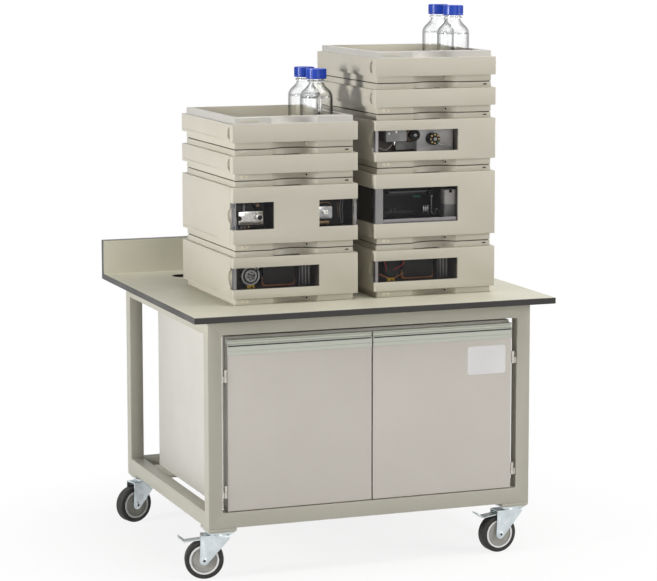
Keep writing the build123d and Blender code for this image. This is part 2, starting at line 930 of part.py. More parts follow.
def solvent_tray(left_x, base):
    """Open tray on top of a stack: bands, wide body and a deep well for bottles."""
    height = height_80
    body_bottom = base + lower_band_height
    body_top = base + height - upper_band_height
    with BuildPart() as tray:
        add(bands(left_x, base, height, 0))
        with BuildSketch(Plane.XY.offset(body_bottom)):
            add(cover_plan(left_x))
            with Locations((left_x, stack_front + cover_wrap)):
                Rectangle(module_width, module_depth - cover_wrap, align=Align.MIN)
            for corner_x in (left_x, left_x + module_width - groove_width):
                with Locations((corner_x, stack_front + cover_wrap)):
                    Rectangle(groove_width, groove_width, align=Align.MIN, mode=Mode.SUBTRACT)
        extrude(amount=body_top - body_bottom)
        add(power_button(left_x, base))
        add(side_details(left_x, base, height, True), mode=Mode.SUBTRACT)
        well_left = left_x + band_side_inset + tray_rim
        well_width = module_width - 2 * (band_side_inset + tray_rim)
        well_front = stack_front + tray_front_rim
        well_depth = module_depth - tray_front_rim - band_back_inset - tray_rim
        with BuildSketch(Plane.XY.offset(base + height)):
            with Locations((well_left + well_width / 2, well_front + well_depth / 2)):
                RectangleRounded(well_width, well_depth, tray_corner_radius)
        extrude(amount=-tray_depth, mode=Mode.SUBTRACT)
    return tray


# ---------------------------------------------------------------- fittings in the modules
# Each fitting stands out from the back wall of its compartment by its reach.
tube_radius = 1.1
oven_valve_share = 0.155
oven_valve_radius = 25
oven_valve_reach = 42
oven_valve_boss_radius = 9
oven_valve_boss_reach = 48
oven_one_block = ((0.245, 0.5),)
oven_two_blocks = ((0.06, 0.27), (0.3, 0.57))
oven_block_drop = 8
oven_block_reach = 52
oven_block_corner = 8
oven_tube_shares = (0.55, 0.57, 0.6, 0.63)
oven_tube_reach = 50
pump_block_width = 62
pump_block_height = 30
pump_block_reach = 56
pump_head_radius = 9
pump_head_reach = 64
pump_valve_radius = 13
pump_left_share = 0.15
pump_right_share = 0.76
pump_right_width = 38
pump_right_height = 40
detector_block_share = 0.175
detector_block_width = 52
detector_block_height = 34
detector_knob_share = 0.31
detector_knob_radius = 13
detector_knob_reach = 56
detector_sheet_share = 0.5
detector_sheet_width = 112
detector_sheet_reach = 40
detector_valve_share = 0.5
detector_valve_radius = 16
detector_valve_reach = 52
sampler_rail_height = 10
sampler_rail_drop = 22
sampler_rail_reach = 100
sampler_arm_share = 0.44
sampler_arm_width = 16
sampler_arm_reach = 120
sampler_needle_length = 52
sampler_box_share = 0.575
sampler_box_width = 46
sampler_box_reach = 150
sampler_rack_height = 14
sampler_rack_reach = 150


def wall_block(wall_y, centre_x, centre_z, width, tall, reach, corner=0):
    """A block, or a block with rounded corners, on the back wall of a compartment."""
    with BuildPart() as block:
        with BuildSketch(Plane.XZ.offset(-wall_y)):
            with Locations((centre_x, centre_z)):
                Rectangle(width, tall)
        extrude(amount=reach)
        if corner:
            fillet(block.edges().filter_by(Axis.Y), corner)
    return block.part


def wall_boss(wall_y, centre_x, centre_z, radius, reach):
    """A round boss on the back wall of a compartment."""
    with BuildPart() as boss:
        with BuildSketch(Plane.XZ.offset(-wall_y)):
            with Locations((centre_x, centre_z)):
                Circle(radius)
        extrude(amount=reach)
    return boss.part


def oven_fittings(left_x, base, block_shares, has_valve):
    """Column oven: a switching valve in one of them, heater blocks and a bay of tubes."""
    low, high = window_levels(base, height_140, window_drop_140, window_height_140)
    wall_y = stack_front + compartment_depth
    middle = (low + high) / 2
    with BuildPart() as fittings:
        if has_valve:
            valve_x = left_x + oven_valve_share * module_width
            for radius, reach in (
                (oven_valve_radius, oven_valve_reach),
                (oven_valve_boss_radius, oven_valve_boss_reach),
            ):
                add(wall_boss(wall_y, valve_x, middle, radius, reach))
        for start, end in block_shares:
            add(
                wall_block(
                    wall_y,
                    left_x + (start + end) / 2 * module_width,
                    middle + oven_block_drop / 2,
                    (end - start) * module_width,
                    window_height_140 - oven_block_drop,
                    oven_block_reach,
                    oven_block_corner,
                )
            )
        for share in oven_tube_shares:
            tube_x = left_x + share * module_width
            add(
                wall_block(
                    wall_y,
                    tube_x,
                    middle,
                    2 * tube_radius,
                    window_height_140,
                    oven_tube_reach,
                )
            )
    return fittings


def pump_fittings(left_x, base):
    """Pump: a bright head block with two bores at the left, an inlet block at the right."""
    low, high = window_levels(base, height_180, window_drop_180, window_height_180)
    wall_y = stack_front + compartment_depth
    middle = (low + high) / 2
    left_middle = left_x + pump_left_share * module_width
    right_middle = left_x + pump_right_share * module_width
    with BuildPart() as fittings:
        add(
            wall_block(
                wall_y,
                left_middle,
                middle - pump_head_radius / 2,
                pump_block_width,
                pump_block_height,
                pump_block_reach,
            )
        )
        for offset_x in (-pump_block_width / 2, pump_block_width / 4):
            add(
                wall_boss(
                    wall_y,
                    left_middle + offset_x + pump_head_radius,
                    middle - pump_head_radius / 2,
                    pump_head_radius,
                    pump_head_reach,
                )
            )
        add(
            wall_boss(
                wall_y,
                left_middle + pump_block_width / 2,
                high - 2 * pump_head_radius,
                pump_valve_radius,
                pump_block_reach,
            )
        )
        add(
            wall_block(
                wall_y,
                right_middle,
                middle - pump_head_radius / 2,
                pump_right_width,
                pump_right_height,
                pump_block_reach,
            )
        )
        add(
            wall_boss(
                wall_y,
                right_middle,
                middle - pump_head_radius / 2,
                pump_head_radius,
                pump_head_reach,
            )
        )
    return fittings


def sampler_fittings(left_x, base):
    """Sampler: a cross rail with its arm and needle, a vial rack and a metering unit."""
    low, high = window_levels(base, height_200, window_drop_200, window_height_200)
    wall_y = stack_front + sampler_depth
    room_left = left_x + cover_wall + core_gap + window_frame / 2
    room_right = left_x + wide_window_share * module_width + window_frame
    room_bottom = low - window_frame
    box_middle = left_x + sampler_box_share * module_width
    box_left = box_middle - sampler_box_width / 2
    arm_x = left_x + sampler_arm_share * module_width
    rail_z = high - sampler_rail_drop
    with BuildPart() as fittings:
        add(
            wall_block(
                wall_y,
                (room_left + box_left) / 2,
                rail_z,
                box_left - room_left,
                sampler_rail_height,
                sampler_rail_reach,
            )
        )
        add(
            wall_block(
                wall_y,
                arm_x,
                rail_z,
                sampler_arm_width,
                2 * sampler_rail_height,
                sampler_arm_reach,
            )
        )
        needle_y = wall_y - sampler_arm_reach + sampler_arm_width / 2
        with BuildSketch(Plane.XY.offset(rail_z)):
            with Locations((arm_x, needle_y)):
                Circle(tube_radius)
        extrude(amount=-sampler_needle_length)
        add(
            wall_block(
                wall_y,
                box_middle,
                (room_bottom + high) / 2,
                sampler_box_width,
                high - room_bottom,
                sampler_box_reach,
            )
        )
        add(
            wall_block(
                wall_y,
                (room_left + box_left) / 2,
                room_bottom + sampler_rack_height / 2,
                box_left - room_left - sampler_arm_width,
                sampler_rack_height,
                sampler_rack_reach,
            )
        )
    return fittings


def detector_fittings(left_x, base):
    """Detector: lamp block, round knob, bent sheet and the flow cell in its holder."""
    low, high = window_levels(base, height_140, window_drop_140, window_height_140)
    wall_y = stack_front + compartment_depth
    middle = (low + high) / 2
    with BuildPart() as fittings:
        add(
            wall_block(
                wall_y,
                left_x + detector_block_share * module_width,
                high - detector_block_height / 2,
                detector_block_width,
                detector_block_height,
                oven_block_reach,
            )
        )
        add(
            wall_boss(
                wall_y,
                left_x + detector_knob_share * module_width,
                high - detector_knob_radius,
                detector_knob_radius,
                detector_knob_reach,
            )
        )
        sheet_x = left_x + detector_sheet_share * module_width
        add(
            wall_block(
                wall_y,
                sheet_x,
                middle,
                detector_sheet_width,
                window_height_140,
                detector_sheet_reach,
            )
        )
        add(
            wall_boss(
                wall_y,
                left_x + detector_valve_share * module_width,
                middle,
                detector_valve_radius,
                detector_valve_reach,
            )
        )
    return fittings


fittings_makers = {
    "column_oven_left": lambda x, z: oven_fittings(x, z, oven_one_block, True),
    "column_oven_right": lambda x, z: oven_fittings(x, z, oven_two_blocks, False),
    "pump": pump_fittings,
    "sampler": sampler_fittings,
    "detector": detector_fittings,
}
for stack_x, modules, tray_name in (
    (left_stack, left_modules, "solvent_tray_left"),
    (right_stack, right_modules, "solvent_tray_right"),
):
    level = worktop_top
    for name, height, windows in modules:
        has_side_window = name == "sampler"
        housing = module_housing(stack_x, level, height, windows, has_side_window)
        save(housing, f"{name}_housing")
        save(front_cover(stack_x, level, height, windows), f"{name}_cover")
        if windows:
            save(window_panes(stack_x, level, height, windows), f"{name}_window")
            save(fittings_makers[name](stack_x, level), f"{name}_fittings")
        if has_side_window:
            window_low, window_high = window_levels(level, height, *windows[0][2:])
            pane_back = stack_front + body_start + side_window_reach - cover_wrap
            with BuildPart() as side_window:
                pane = box_between(
                    (stack_x, stack_front + body_start + pane_fit, window_low + pane_fit),
                    (stack_x + cover_wall, pane_back - pane_fit, window_high - pane_fit),
                )
                add(pane)
            save(side_window, "sampler_side_window")
        level += height
    save(solvent_tray(stack_x, level), tray_name)

# ================================================================ solvent bottles
left_bottle_base = worktop_top + sum(m[1] for m in left_modules) + height_80 - tray_depth
right_bottle_base = worktop_top + sum(m[1] for m in right_modules) + height_80 - tray_depth
bottle_places = [
    (left_stack + x, stack_front + y, left_bottle_base) for x, y in left_bottles
] + [(right_stack + x, stack_front + y, right_bottle_base) for x, y in right_bottles]

inner_radius = bottle_radius - bottle_wall
inner_neck = bottle_neck_radius - bottle_wall
with BuildPart() as bottles:
    for x, y, z in bottle_places:
        with BuildSketch(Plane(origin=(x, y, z), x_dir=(1, 0, 0), z_dir=(0, -1, 0))):
            with BuildLine():
                Polyline(
                    (0, bottle_wall),
                    (0, 0),
                    (bottle_radius - bottle_foot_radius, 0),
                    (bottle_radius, bottle_foot_radius),
                    (bottle_radius, bottle_shoulder),
                )
                Spline(
                    (bottle_radius, bottle_shoulder),
                    (bottle_neck_radius, bottle_neck_start),
                    tangents=((0, 1), (-bottle_neck_lean, 1)),
                )
                Polyline(
                    (bottle_neck_radius, bottle_neck_start),
                    (bottle_neck_radius, bottle_height),
                    (inner_neck, bottle_height),
                    (inner_neck, bottle_neck_start),
                )
                Spline(
                    (inner_neck, bottle_neck_start),
                    (inner_radius, bottle_shoulder),
                    tangents=((bottle_neck_lean, -1), (0, -1)),
                )
                Polyline(
                    (inner_radius, bottle_shoulder),
                    (inner_radius, bottle_wall),
                    (0, bottle_wall),
                )
            make_face()
        revolve(axis=Axis((x, y, z), (0, 0, 1)))
save(bottles, "solvent_bottles")

with BuildPart() as bottle_caps:
    for x, y, z in bottle_places:
        cap_bottom = z + bottle_height + cap_over_top + cap_gap - cap_height
        with BuildSketch(Plane.XY.offset(cap_bottom)):
            with Locations((x, y)):
                Circle(cap_radius - cap_rib_radius / 2)
                with PolarLocations(cap_radius - cap_rib_radius / 2, cap_rib_count):
                    Rectangle(cap_rib_radius, cap_rib_radius * 2)
        extrude(amount=cap_height)
        with BuildSketch(Plane.XY.offset(cap_bottom)):
            with Locations((x, y)):
                Circle(bottle_neck_radius + cap_gap)
        extrude(amount=cap_height - cap_over_top, mode=Mode.SUBTRACT)
save(bottle_caps, "bottle_caps")
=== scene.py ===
import bmesh
import bpy
import json
import math
from mathutils import Matrix, Vector

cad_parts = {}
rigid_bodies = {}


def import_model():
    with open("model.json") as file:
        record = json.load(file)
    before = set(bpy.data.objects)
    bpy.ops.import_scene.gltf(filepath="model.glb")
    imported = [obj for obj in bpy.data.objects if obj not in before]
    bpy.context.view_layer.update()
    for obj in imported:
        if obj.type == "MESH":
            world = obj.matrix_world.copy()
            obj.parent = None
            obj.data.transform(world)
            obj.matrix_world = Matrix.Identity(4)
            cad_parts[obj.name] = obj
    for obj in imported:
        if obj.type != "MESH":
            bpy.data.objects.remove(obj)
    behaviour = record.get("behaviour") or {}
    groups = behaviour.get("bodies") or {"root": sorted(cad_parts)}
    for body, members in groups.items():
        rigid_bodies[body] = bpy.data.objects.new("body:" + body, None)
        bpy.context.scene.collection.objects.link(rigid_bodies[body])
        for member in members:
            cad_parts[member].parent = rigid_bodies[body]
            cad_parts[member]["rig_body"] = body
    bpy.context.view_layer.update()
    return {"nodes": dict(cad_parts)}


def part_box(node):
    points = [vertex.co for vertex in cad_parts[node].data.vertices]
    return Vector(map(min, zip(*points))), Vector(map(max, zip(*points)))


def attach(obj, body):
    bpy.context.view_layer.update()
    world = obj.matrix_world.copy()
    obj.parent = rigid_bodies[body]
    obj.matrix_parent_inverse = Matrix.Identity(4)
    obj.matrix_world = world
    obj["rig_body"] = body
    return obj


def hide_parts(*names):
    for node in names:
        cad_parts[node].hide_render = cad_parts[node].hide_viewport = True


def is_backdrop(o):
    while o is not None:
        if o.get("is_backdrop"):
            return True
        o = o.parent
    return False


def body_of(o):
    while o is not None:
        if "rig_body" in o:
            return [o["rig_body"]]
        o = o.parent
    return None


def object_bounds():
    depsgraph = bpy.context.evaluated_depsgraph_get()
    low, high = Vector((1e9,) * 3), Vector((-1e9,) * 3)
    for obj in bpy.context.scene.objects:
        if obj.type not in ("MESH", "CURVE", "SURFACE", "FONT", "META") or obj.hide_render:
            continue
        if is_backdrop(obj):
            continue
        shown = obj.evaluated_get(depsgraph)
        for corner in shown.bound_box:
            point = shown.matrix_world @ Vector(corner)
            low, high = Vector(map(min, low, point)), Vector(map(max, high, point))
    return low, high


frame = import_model()
bpy.ops.object.select_all(action="DESELECT")

# Camera. It stands about seven metres away at chest height, to the left of the bench, and
# looks a little down. The shift only puts the bench where it belongs in the frame.
camera_place = Vector((-2.2846, -6.2603, 1.6483))
camera_yaw = math.radians(-21.215)
camera_pitch = math.radians(-7.590)
camera_roll = math.radians(-0.067)
bpy.ops.object.camera_add(location=camera_place)
camera = bpy.context.object
camera.name = "camera"
camera.rotation_mode = "XYZ"
turn = Matrix.Rotation(camera_yaw, 4, "Z") @ Matrix.Rotation(math.pi / 2 + camera_pitch, 4, "X")
camera.rotation_euler = (turn @ Matrix.Rotation(-camera_roll, 4, "Z")).to_euler()
camera.data.sensor_width = 36
camera.data.lens = 136.40
camera.data.shift_x = -0.0604
camera.data.shift_y = -0.0489
camera.data.clip_end = 60
bpy.context.scene.camera = camera
bpy.context.scene.view_settings.view_transform = "Standard"

# Studio. A pale floor, a white surround that only the camera, metal and glass see, a large
# soft lamp low at the left as the main light, and weaker ones in front, at the right and above.
floor_colour = (0.86, 0.86, 0.85, 1)
pure_white = (1.0, 1.0, 1.0, 1)
fill_colour = (0.93, 0.96, 1.0, 1)
floor_half = 9.0
bpy.ops.mesh.primitive_plane_add(size=2 * floor_half, location=(0, 0, 0))
floor = bpy.context.object
floor.name = "floor"
floor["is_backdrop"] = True


def node(tree, kind, values=(), **settings):
    """Adds a node to a tree, with its settings and the plain values of its inputs."""
    made = tree.nodes.new("ShaderNode" + kind)
    for setting, value in settings.items():
        setattr(made, setting, value)
    for socket, value in dict(values).items():
        made.inputs[socket].default_value = value
    return made


def larger(tree, first, second):
    """The larger of two values, as a node's output."""
    made = node(tree, "Math", operation="MAXIMUM")
    tree.links.new(first, made.inputs[0])
    tree.links.new(second, made.inputs[1])
    return made.outputs["Value"]


def floor_material():
    """White wherever a camera or a shiny surface sees it, but darker where a shadow falls."""
    made = bpy.data.materials.new("Studio floor")
    made.use_nodes = True
    tree = made.node_tree
    links = tree.links
    tree.nodes.clear()
    output = node(tree, "OutputMaterial")
    mix = node(tree, "MixShader")
    matt = {"Base Color": floor_colour, "Roughness": 0.9, "Specular IOR Level": 0.0}
    paint = node(tree, "BsdfPrincipled", matt)
    white = node(tree, "Emission", {"Color": pure_white, "Strength": 1.0})
    links.new(paint.outputs["BSDF"], mix.inputs[1])
    links.new(white.outputs["Emission"], mix.inputs[2])
    distance = node(tree, "TexCoord")
    length = node(tree, "VectorMath", operation="LENGTH")
    links.new(distance.outputs["Object"], length.inputs[0])
    reach = {"From Min": 0.35, "From Max": 1.15, "To Min": 0.84, "To Max": 1.0}
    fade = node(tree, "MapRange", reach, interpolation_type="SMOOTHSTEP")
    links.new(length.outputs["Value"], fade.inputs["Value"])
    seen = node(tree, "LightPath")
    either = larger(tree, seen.outputs["Is Camera Ray"], seen.outputs["Is Glossy Ray"])
    weight = node(tree, "Math", operation="MULTIPLY")
    links.new(either, weight.inputs[0])
    links.new(fade.outputs["Result"], weight.inputs[1])
    links.new(weight.outputs["Value"], mix.inputs[0])
    links.new(mix.outputs["Shader"], output.inputs["Surface"])
    return made


def surround_world():
    """White to the camera, metal and glass, and a faint cool fill for everything else."""
    made = bpy.data.worlds.new("Studio surround")
    made.use_nodes = True
    tree = made.node_tree
    tree.nodes.clear()
    output = node(tree, "OutputWorld")
    mix = node(tree, "MixShader")
    fill = node(tree, "Background", {"Color": fill_colour, "Strength": 0.02})
    white = node(tree, "Background", {"Color": pure_white, "Strength": 1.0})
    seen = node(tree, "LightPath")
    either = larger(tree, seen.outputs["Is Camera Ray"], seen.outputs["Is Glossy Ray"])
    either = larger(tree, either, seen.outputs["Is Transmission Ray"])
    tree.links.new(either, mix.inputs[0])
    tree.links.new(fill.outputs["Background"], mix.inputs[1])
    tree.links.new(white.outputs["Background"], mix.inputs[2])
    tree.links.new(mix.outputs["Shader"], output.inputs["Surface"])
    return made


floor.data.materials.append(floor_material())
bpy.context.scene.world = surround_world()


def soft_lamp(name, place, target, width, height, power, tint):
    """A rectangular soft lamp that faces a point."""
    bpy.ops.object.light_add(type="AREA", location=place)
    lamp = bpy.context.object
    lamp.name = name
    lamp.data.shape = "RECTANGLE"
    lamp.data.size = width
    lamp.data.size_y = height
    lamp.data.energy = power
    lamp.data.color = tint
    lamp.rotation_euler = (Vector(target) - Vector(place)).to_track_quat("-Z", "Y").to_euler()
    return lamp


soft_lamp("lamp_left", (-4.2, -0.75, 1.45), (0.0, 0.0, 1.1), 0.7, 0.9, 132, (1.0, 0.99, 0.98))
soft_lamp("lamp_front", (0.0, -5.5, 1.7), (0.0, 0.0, 0.8), 1.6, 2.0, 42, (1.0, 0.98, 0.96))
soft_lamp("lamp_right", (3.6, -2.4, 2.0), (0.0, 0.0, 0.8), 1.4, 1.4, 76, (1.0, 0.98, 0.96))
soft_lamp("lamp_above", (0.9, -0.7, 4.2), (0.2, 0.0, 0.8), 2.6, 2.6, 104, (1.0, 0.99, 0.98))

# Worktop and upstand. Solid compact laminate: a black core pressed between two thin cream
# faces, so every cut edge shows black. The upstand is the same board, screwed to the back.
laminate_tones = ((0.60, 0.585, 0.475), (0.565, 0.55, 0.445))
core_black = (0.016, 0.015, 0.013, 1)


def grain_group():
    """Cloudy mask and fine grain normal that every solid finish of the bench shares."""
    group = bpy.data.node_groups.new("Cloud and grain", "ShaderNodeTree")
    for socket, default in (
        ("Cloud scale", 6.0),
        ("Grain scale", 900.0),
        ("Grain depth", 0.1),
        ("Stretch", 1.0),
    ):
        made = group.interface.new_socket(socket, in_out="INPUT", socket_type="NodeSocketFloat")
        made.default_value = default
    group.interface.new_socket("Cloud", in_out="OUTPUT", socket_type="NodeSocketFloat")
    group.interface.new_socket("Grain", in_out="OUTPUT", socket_type="NodeSocketFloat")
    group.interface.new_socket("Normal", in_out="OUTPUT", socket_type="NodeSocketVector")
    links = group.links
    inlet = group.nodes.new("NodeGroupInput")
    outlet = group.nodes.new("NodeGroupOutput")
    place = node(group, "TexCoord")
    squeeze = node(group, "CombineXYZ", {"Y": 1.0, "Z": 1.0})
    links.new(inlet.outputs["Stretch"], squeeze.inputs["X"])
    drawn = node(group, "VectorMath", operation="MULTIPLY")
    links.new(place.outputs["Object"], drawn.inputs[0])
    links.new(squeeze.outputs["Vector"], drawn.inputs[1])
    cloud = node(group, "TexNoise", {"Detail": 5.0, "Roughness": 0.6})
    links.new(drawn.outputs["Vector"], cloud.inputs["Vector"])
    links.new(inlet.outputs["Cloud scale"], cloud.inputs["Scale"])
    spread = node(group, "MapRange", {"From Min": 0.3, "From Max": 0.7})
    links.new(cloud.outputs["Fac"], spread.inputs["Value"])
    grain = node(group, "TexNoise", {"Detail": 2.0})
    links.new(drawn.outputs["Vector"], grain.inputs["Vector"])
    links.new(inlet.outputs["Grain scale"], grain.inputs["Scale"])
    relief = node(group, "Bump", {"Distance": 0.0004})
    links.new(inlet.outputs["Grain depth"], relief.inputs["Strength"])
    links.new(grain.outputs["Fac"], relief.inputs["Height"])
    links.new(spread.outputs["Result"], outlet.inputs["Cloud"])
    links.new(grain.outputs["Fac"], outlet.inputs["Grain"])
    links.new(relief.outputs["Normal"], outlet.inputs["Normal"])
    return group


cloud_and_grain = grain_group()


def finish(name, tones, gloss, metallic=0.0, cloud=6.0, grain=900.0, depth=0.1, stretch=1.0):
    """A finish whose colour drifts between two tones and whose roughness drifts with it."""
    made = bpy.data.materials.new(name)
    made.use_nodes = True
    tree = made.node_tree
    links = tree.links
    shader = tree.nodes["Principled BSDF"]
    shader.inputs["Metallic"].default_value = metallic
    scales = {"Cloud scale": cloud, "Grain scale": grain, "Grain depth": depth, "Stretch": stretch}
    texture = node(tree, "Group", node_tree=cloud_and_grain, name="texture")
    for socket, value in scales.items():
        texture.inputs[socket].default_value = value
    drift = node(tree, "Mix", name="drift", data_type="RGBA")
    drift.inputs["A"].default_value = (*tones[0], 1)
    drift.inputs["B"].default_value = (*tones[1], 1)
    links.new(texture.outputs["Cloud"], drift.inputs["Factor"])
    links.new(drift.outputs["Result"], shader.inputs["Base Color"])
    polish = node(tree, "MapRange", {"To Min": gloss[0], "To Max": gloss[1]}, name="polish")
    links.new(texture.outputs["Cloud"], polish.inputs["Value"])
    links.new(polish.outputs["Result"], shader.inputs["Roughness"])
    links.new(texture.outputs["Normal"], shader.inputs["Normal"])
    return made


def edged_laminate(name, axis):
    """Cream on the two faces across an axis, black core on the cut edges round them."""
    made = finish(name, laminate_tones, (0.36, 0.48), grain=1400.0)
    tree = made.node_tree
    links = tree.links
    facing = node(tree, "TexCoord")
    split = node(tree, "SeparateXYZ")
    links.new(facing.outputs["Normal"], split.inputs["Vector"])
    size = node(tree, "Math", operation="ABSOLUTE")
    links.new(split.outputs[axis], size.inputs[0])
    mask = node(tree, "MapRange", {"From Min": 0.8, "From Max": 0.9})
    links.new(size.outputs["Value"], mask.inputs["Value"])
    blend = node(tree, "Mix", data_type="RGBA")
    blend.inputs["A"].default_value = core_black
    links.new(tree.nodes["drift"].outputs["Result"], blend.inputs["B"])
    links.new(mask.outputs["Result"], blend.inputs["Factor"])
    links.new(blend.outputs["Result"], tree.nodes["Principled BSDF"].inputs["Base Color"])
    return made


def paint(node_name, material):
    """Gives a CAD node one finish all over."""
    slots = frame["nodes"][node_name].material_slots
    if not slots:
        frame["nodes"][node_name].data.materials.append(material)
    for slot in slots:
        slot.material = material


paint("worktop", edged_laminate("Worktop laminate", "Z"))
paint("upstand", edged_laminate("Upstand laminate", "Y"))

# Bench frame. Square steel tube, welded into two end frames with side rails between them,
# ground flush and powder coated with a fine light grey texture. The caster feet match it.
coat_tones = ((0.470, 0.462, 0.392), (0.440, 0.430, 0.362))
tube_corner = 0.0022
merge_distance = 0.00002
crease_angle = math.radians(32)


def settled(piece):
    """Selects one piece and puts its place and turn into its mesh."""
    bpy.ops.object.select_all(action="DESELECT")
    piece.select_set(True)
    bpy.context.view_layer.objects.active = piece
    bpy.ops.object.transform_apply(location=True, rotation=True, scale=True)


def opened_copy(node_name, name):
    """A copy of a CAD node, open in edit mode with its doubled corners merged."""
    source = frame["nodes"][node_name]
    copy = bpy.data.objects.new(name, source.data.copy())
    bpy.context.collection.objects.link(copy)
    copy.matrix_world = source.matrix_world.copy()
    settled(copy)
    bpy.ops.object.mode_set(mode="EDIT")
    bpy.ops.mesh.select_all(action="SELECT")
    bpy.ops.mesh.remove_doubles(threshold=merge_distance)
    return copy


def dress(piece, material):
    """Gives a piece one finish all over."""
    piece.data.materials.clear()
    piece.data.materials.append(material)
    for face in piece.data.polygons:
        face.material_index = 0


def softened(node_name, width, material, segments=2):
    """A copy of a CAD node with its sharp edges rounded, which replaces the node."""
    copy = opened_copy(node_name, node_name + "_finished")
    bpy.ops.mesh.tris_convert_to_quads(
        face_threshold=math.radians(1), shape_threshold=math.radians(180)
    )
    bpy.ops.mesh.customdata_custom_splitnormals_clear()
    bpy.ops.object.mode_set(mode="OBJECT")
    bevel = copy.modifiers.new("Edges", "BEVEL")
    bevel.width = width
    bevel.segments = segments
    bevel.limit_method = "ANGLE"
    bevel.angle_limit = math.radians(35)
    bevel.use_clamp_overlap = True
    bpy.ops.object.modifier_apply(modifier="Edges")
    bpy.ops.object.shade_smooth_by_angle(angle=crease_angle)
    dress(copy, material)
    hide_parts(node_name)
    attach(copy, body_of(frame["nodes"][node_name])[0])
    return copy


powder_coat = finish("Powder coat", coat_tones, (0.42, 0.52), cloud=4.0, grain=700.0, depth=0.35)
for piece in ("front_frame", "rear_frame", "side_rails", "caster_feet"):
    softened(piece, tube_corner, powder_coat)

# Cabinet. A carcass of melamine faced board that stands between the legs, a steel support
# under it, and two flat doors whose edges are banded in the same grey as their faces.
carcass_tones = ((0.61, 0.597, 0.557), (0.58, 0.565, 0.525))
door_tones = ((0.615, 0.585, 0.540), (0.590, 0.560, 0.515))
board_edge = 0.0006
carcass_board = finish("Carcass board", carcass_tones, (0.45, 0.55), grain=1800.0)
door_board = finish("Door board", door_tones, (0.40, 0.50), grain=1800.0)
softened("cabinet_shell", board_edge, carcass_board)
for piece in ("left_door", "right_door"):
    softened(piece, board_edge, door_board)
paint("cabinet_support", powder_coat)

# Door pulls. One extruded aluminium profile per door with a finger groove, coated satin
# grey green and clipped along the door's upper edge.
pull_tones = ((0.545, 0.565, 0.500), (0.500, 0.520, 0.455))
pull_satin = finish(
    "Pull satin", pull_tones, (0.30, 0.38), 0.35, cloud=30.0, grain=500.0, depth=0.12,
    stretch=0.03,
)
paint("left_door_pull", pull_satin)
paint("right_door_pull", pull_satin)

# Hinges. Lift-off knuckle hinges of nickel plated steel, the fixed halves screwed to the
# legs with their pins, the moving halves screwed to the edges of the doors.
nickel_tones = ((0.62, 0.60, 0.55), (0.48, 0.46, 0.41))
nickel = finish("Nickel plate", nickel_tones, (0.22, 0.34), 1.0, cloud=60.0, depth=0.05)
for piece in ("hinge_plates", "left_door_hinges", "right_door_hinges"):
    paint(piece, nickel)

# Casters. Bright zinc plated plates, forks and brake pedals, grey moulded wheel centres and
# black rubber tyres with a thin white ring where the tread meets the wheel centre.
zinc_tones = ((0.70, 0.76, 0.78), (0.52, 0.57, 0.59))
hub_tones = ((0.30, 0.30, 0.275), (0.24, 0.24, 0.22))
rubber_tones = ((0.020, 0.020, 0.018), (0.012, 0.012, 0.010))
ring_tones = ((0.86, 0.86, 0.87), (0.78, 0.78, 0.79))
ring_radius = 0.0378
ring_width = 0.0048
ring_thickness = 0.0009
sheet_edge = 0.0005
zinc = finish("Zinc plate", zinc_tones, (0.24, 0.42), 0.9, cloud=45.0, grain=260.0, depth=0.06)
hub_plastic = finish("Hub plastic", hub_tones, (0.42, 0.55), cloud=30.0, depth=0.15)
tyre_rubber = finish("Tyre rubber", rubber_tones, (0.55, 0.75), cloud=25.0, depth=0.3)
ring_plastic = finish("Ring plastic", ring_tones, (0.35, 0.45), cloud=25.0, depth=0.1)


def close_edit():
    """Turns every face outward and leaves edit mode."""
    bpy.ops.mesh.select_all(action="SELECT")
    bpy.ops.mesh.normals_make_consistent(inside=False)
    bpy.ops.object.mode_set(mode="OBJECT")


def flat_ring(sides, outer, inner, depth):
    """A flat ring made from a circle by extruding its edge inward and then the face back."""
    bpy.ops.mesh.primitive_circle_add(vertices=sides, radius=outer)
    ring = bpy.context.object
    bpy.ops.object.mode_set(mode="EDIT")
    bpy.ops.mesh.select_all(action="SELECT")
    bpy.ops.mesh.extrude_edges_move()
    bpy.ops.transform.resize(value=(inner / outer, inner / outer, 1))
    bpy.ops.mesh.select_all(action="SELECT")
    bpy.ops.mesh.extrude_region_move(TRANSFORM_OT_translate={"value": (0, 0, depth)})
    close_edit()
    return ring


def wheel_faces(corner):
    """Both faces of a wheel: a label, the centre, the way out along the axle, the reach."""
    tyre = frame["nodes"][corner + "_tyre"]
    low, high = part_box(corner + "_tyre")
    centre = (Vector(low) + Vector(high)) / 2
    hub = frame["nodes"][corner + "_hub"]
    flat = [face.normal for face in hub.data.polygons if abs(face.normal.z) < 0.01]
    axle = max(flat, key=lambda normal: sum(abs(normal.dot(other)) > 0.999 for other in flat))
    axle = Vector((axle.x, axle.y, 0)).normalized()
    for direction, label in ((-axle, "inner"), (axle, "outer")):
        gaps = [tyre.matrix_world @ point.co - centre for point in tyre.data.vertices]
        yield label, centre, direction, max(gap.dot(direction) for gap in gaps)


for corner in ("front_left", "front_right", "rear_left", "rear_right"):
    softened(corner + "_fork", sheet_edge, zinc)
    paint(corner + "_hub", hub_plastic)
    softened(corner + "_tyre", sheet_edge, tyre_rubber)
    for label, centre, direction, reach in wheel_faces(corner):
        ring = flat_ring(96, ring_radius, ring_radius - ring_width, ring_thickness)
        ring.rotation_euler = direction.to_track_quat("Z", "Y").to_euler()
        ring.location = centre + direction * (reach - ring_thickness / 2)
        settled(ring)
        ring.name = f"{corner}_ring_{label}"
        dress(ring, ring_plastic)
        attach(ring, corner + "_wheel")
softened("front_left_pedal", sheet_edge, zinc)
softened("front_right_pedal", sheet_edge, zinc)
paint("caster_plates", zinc)

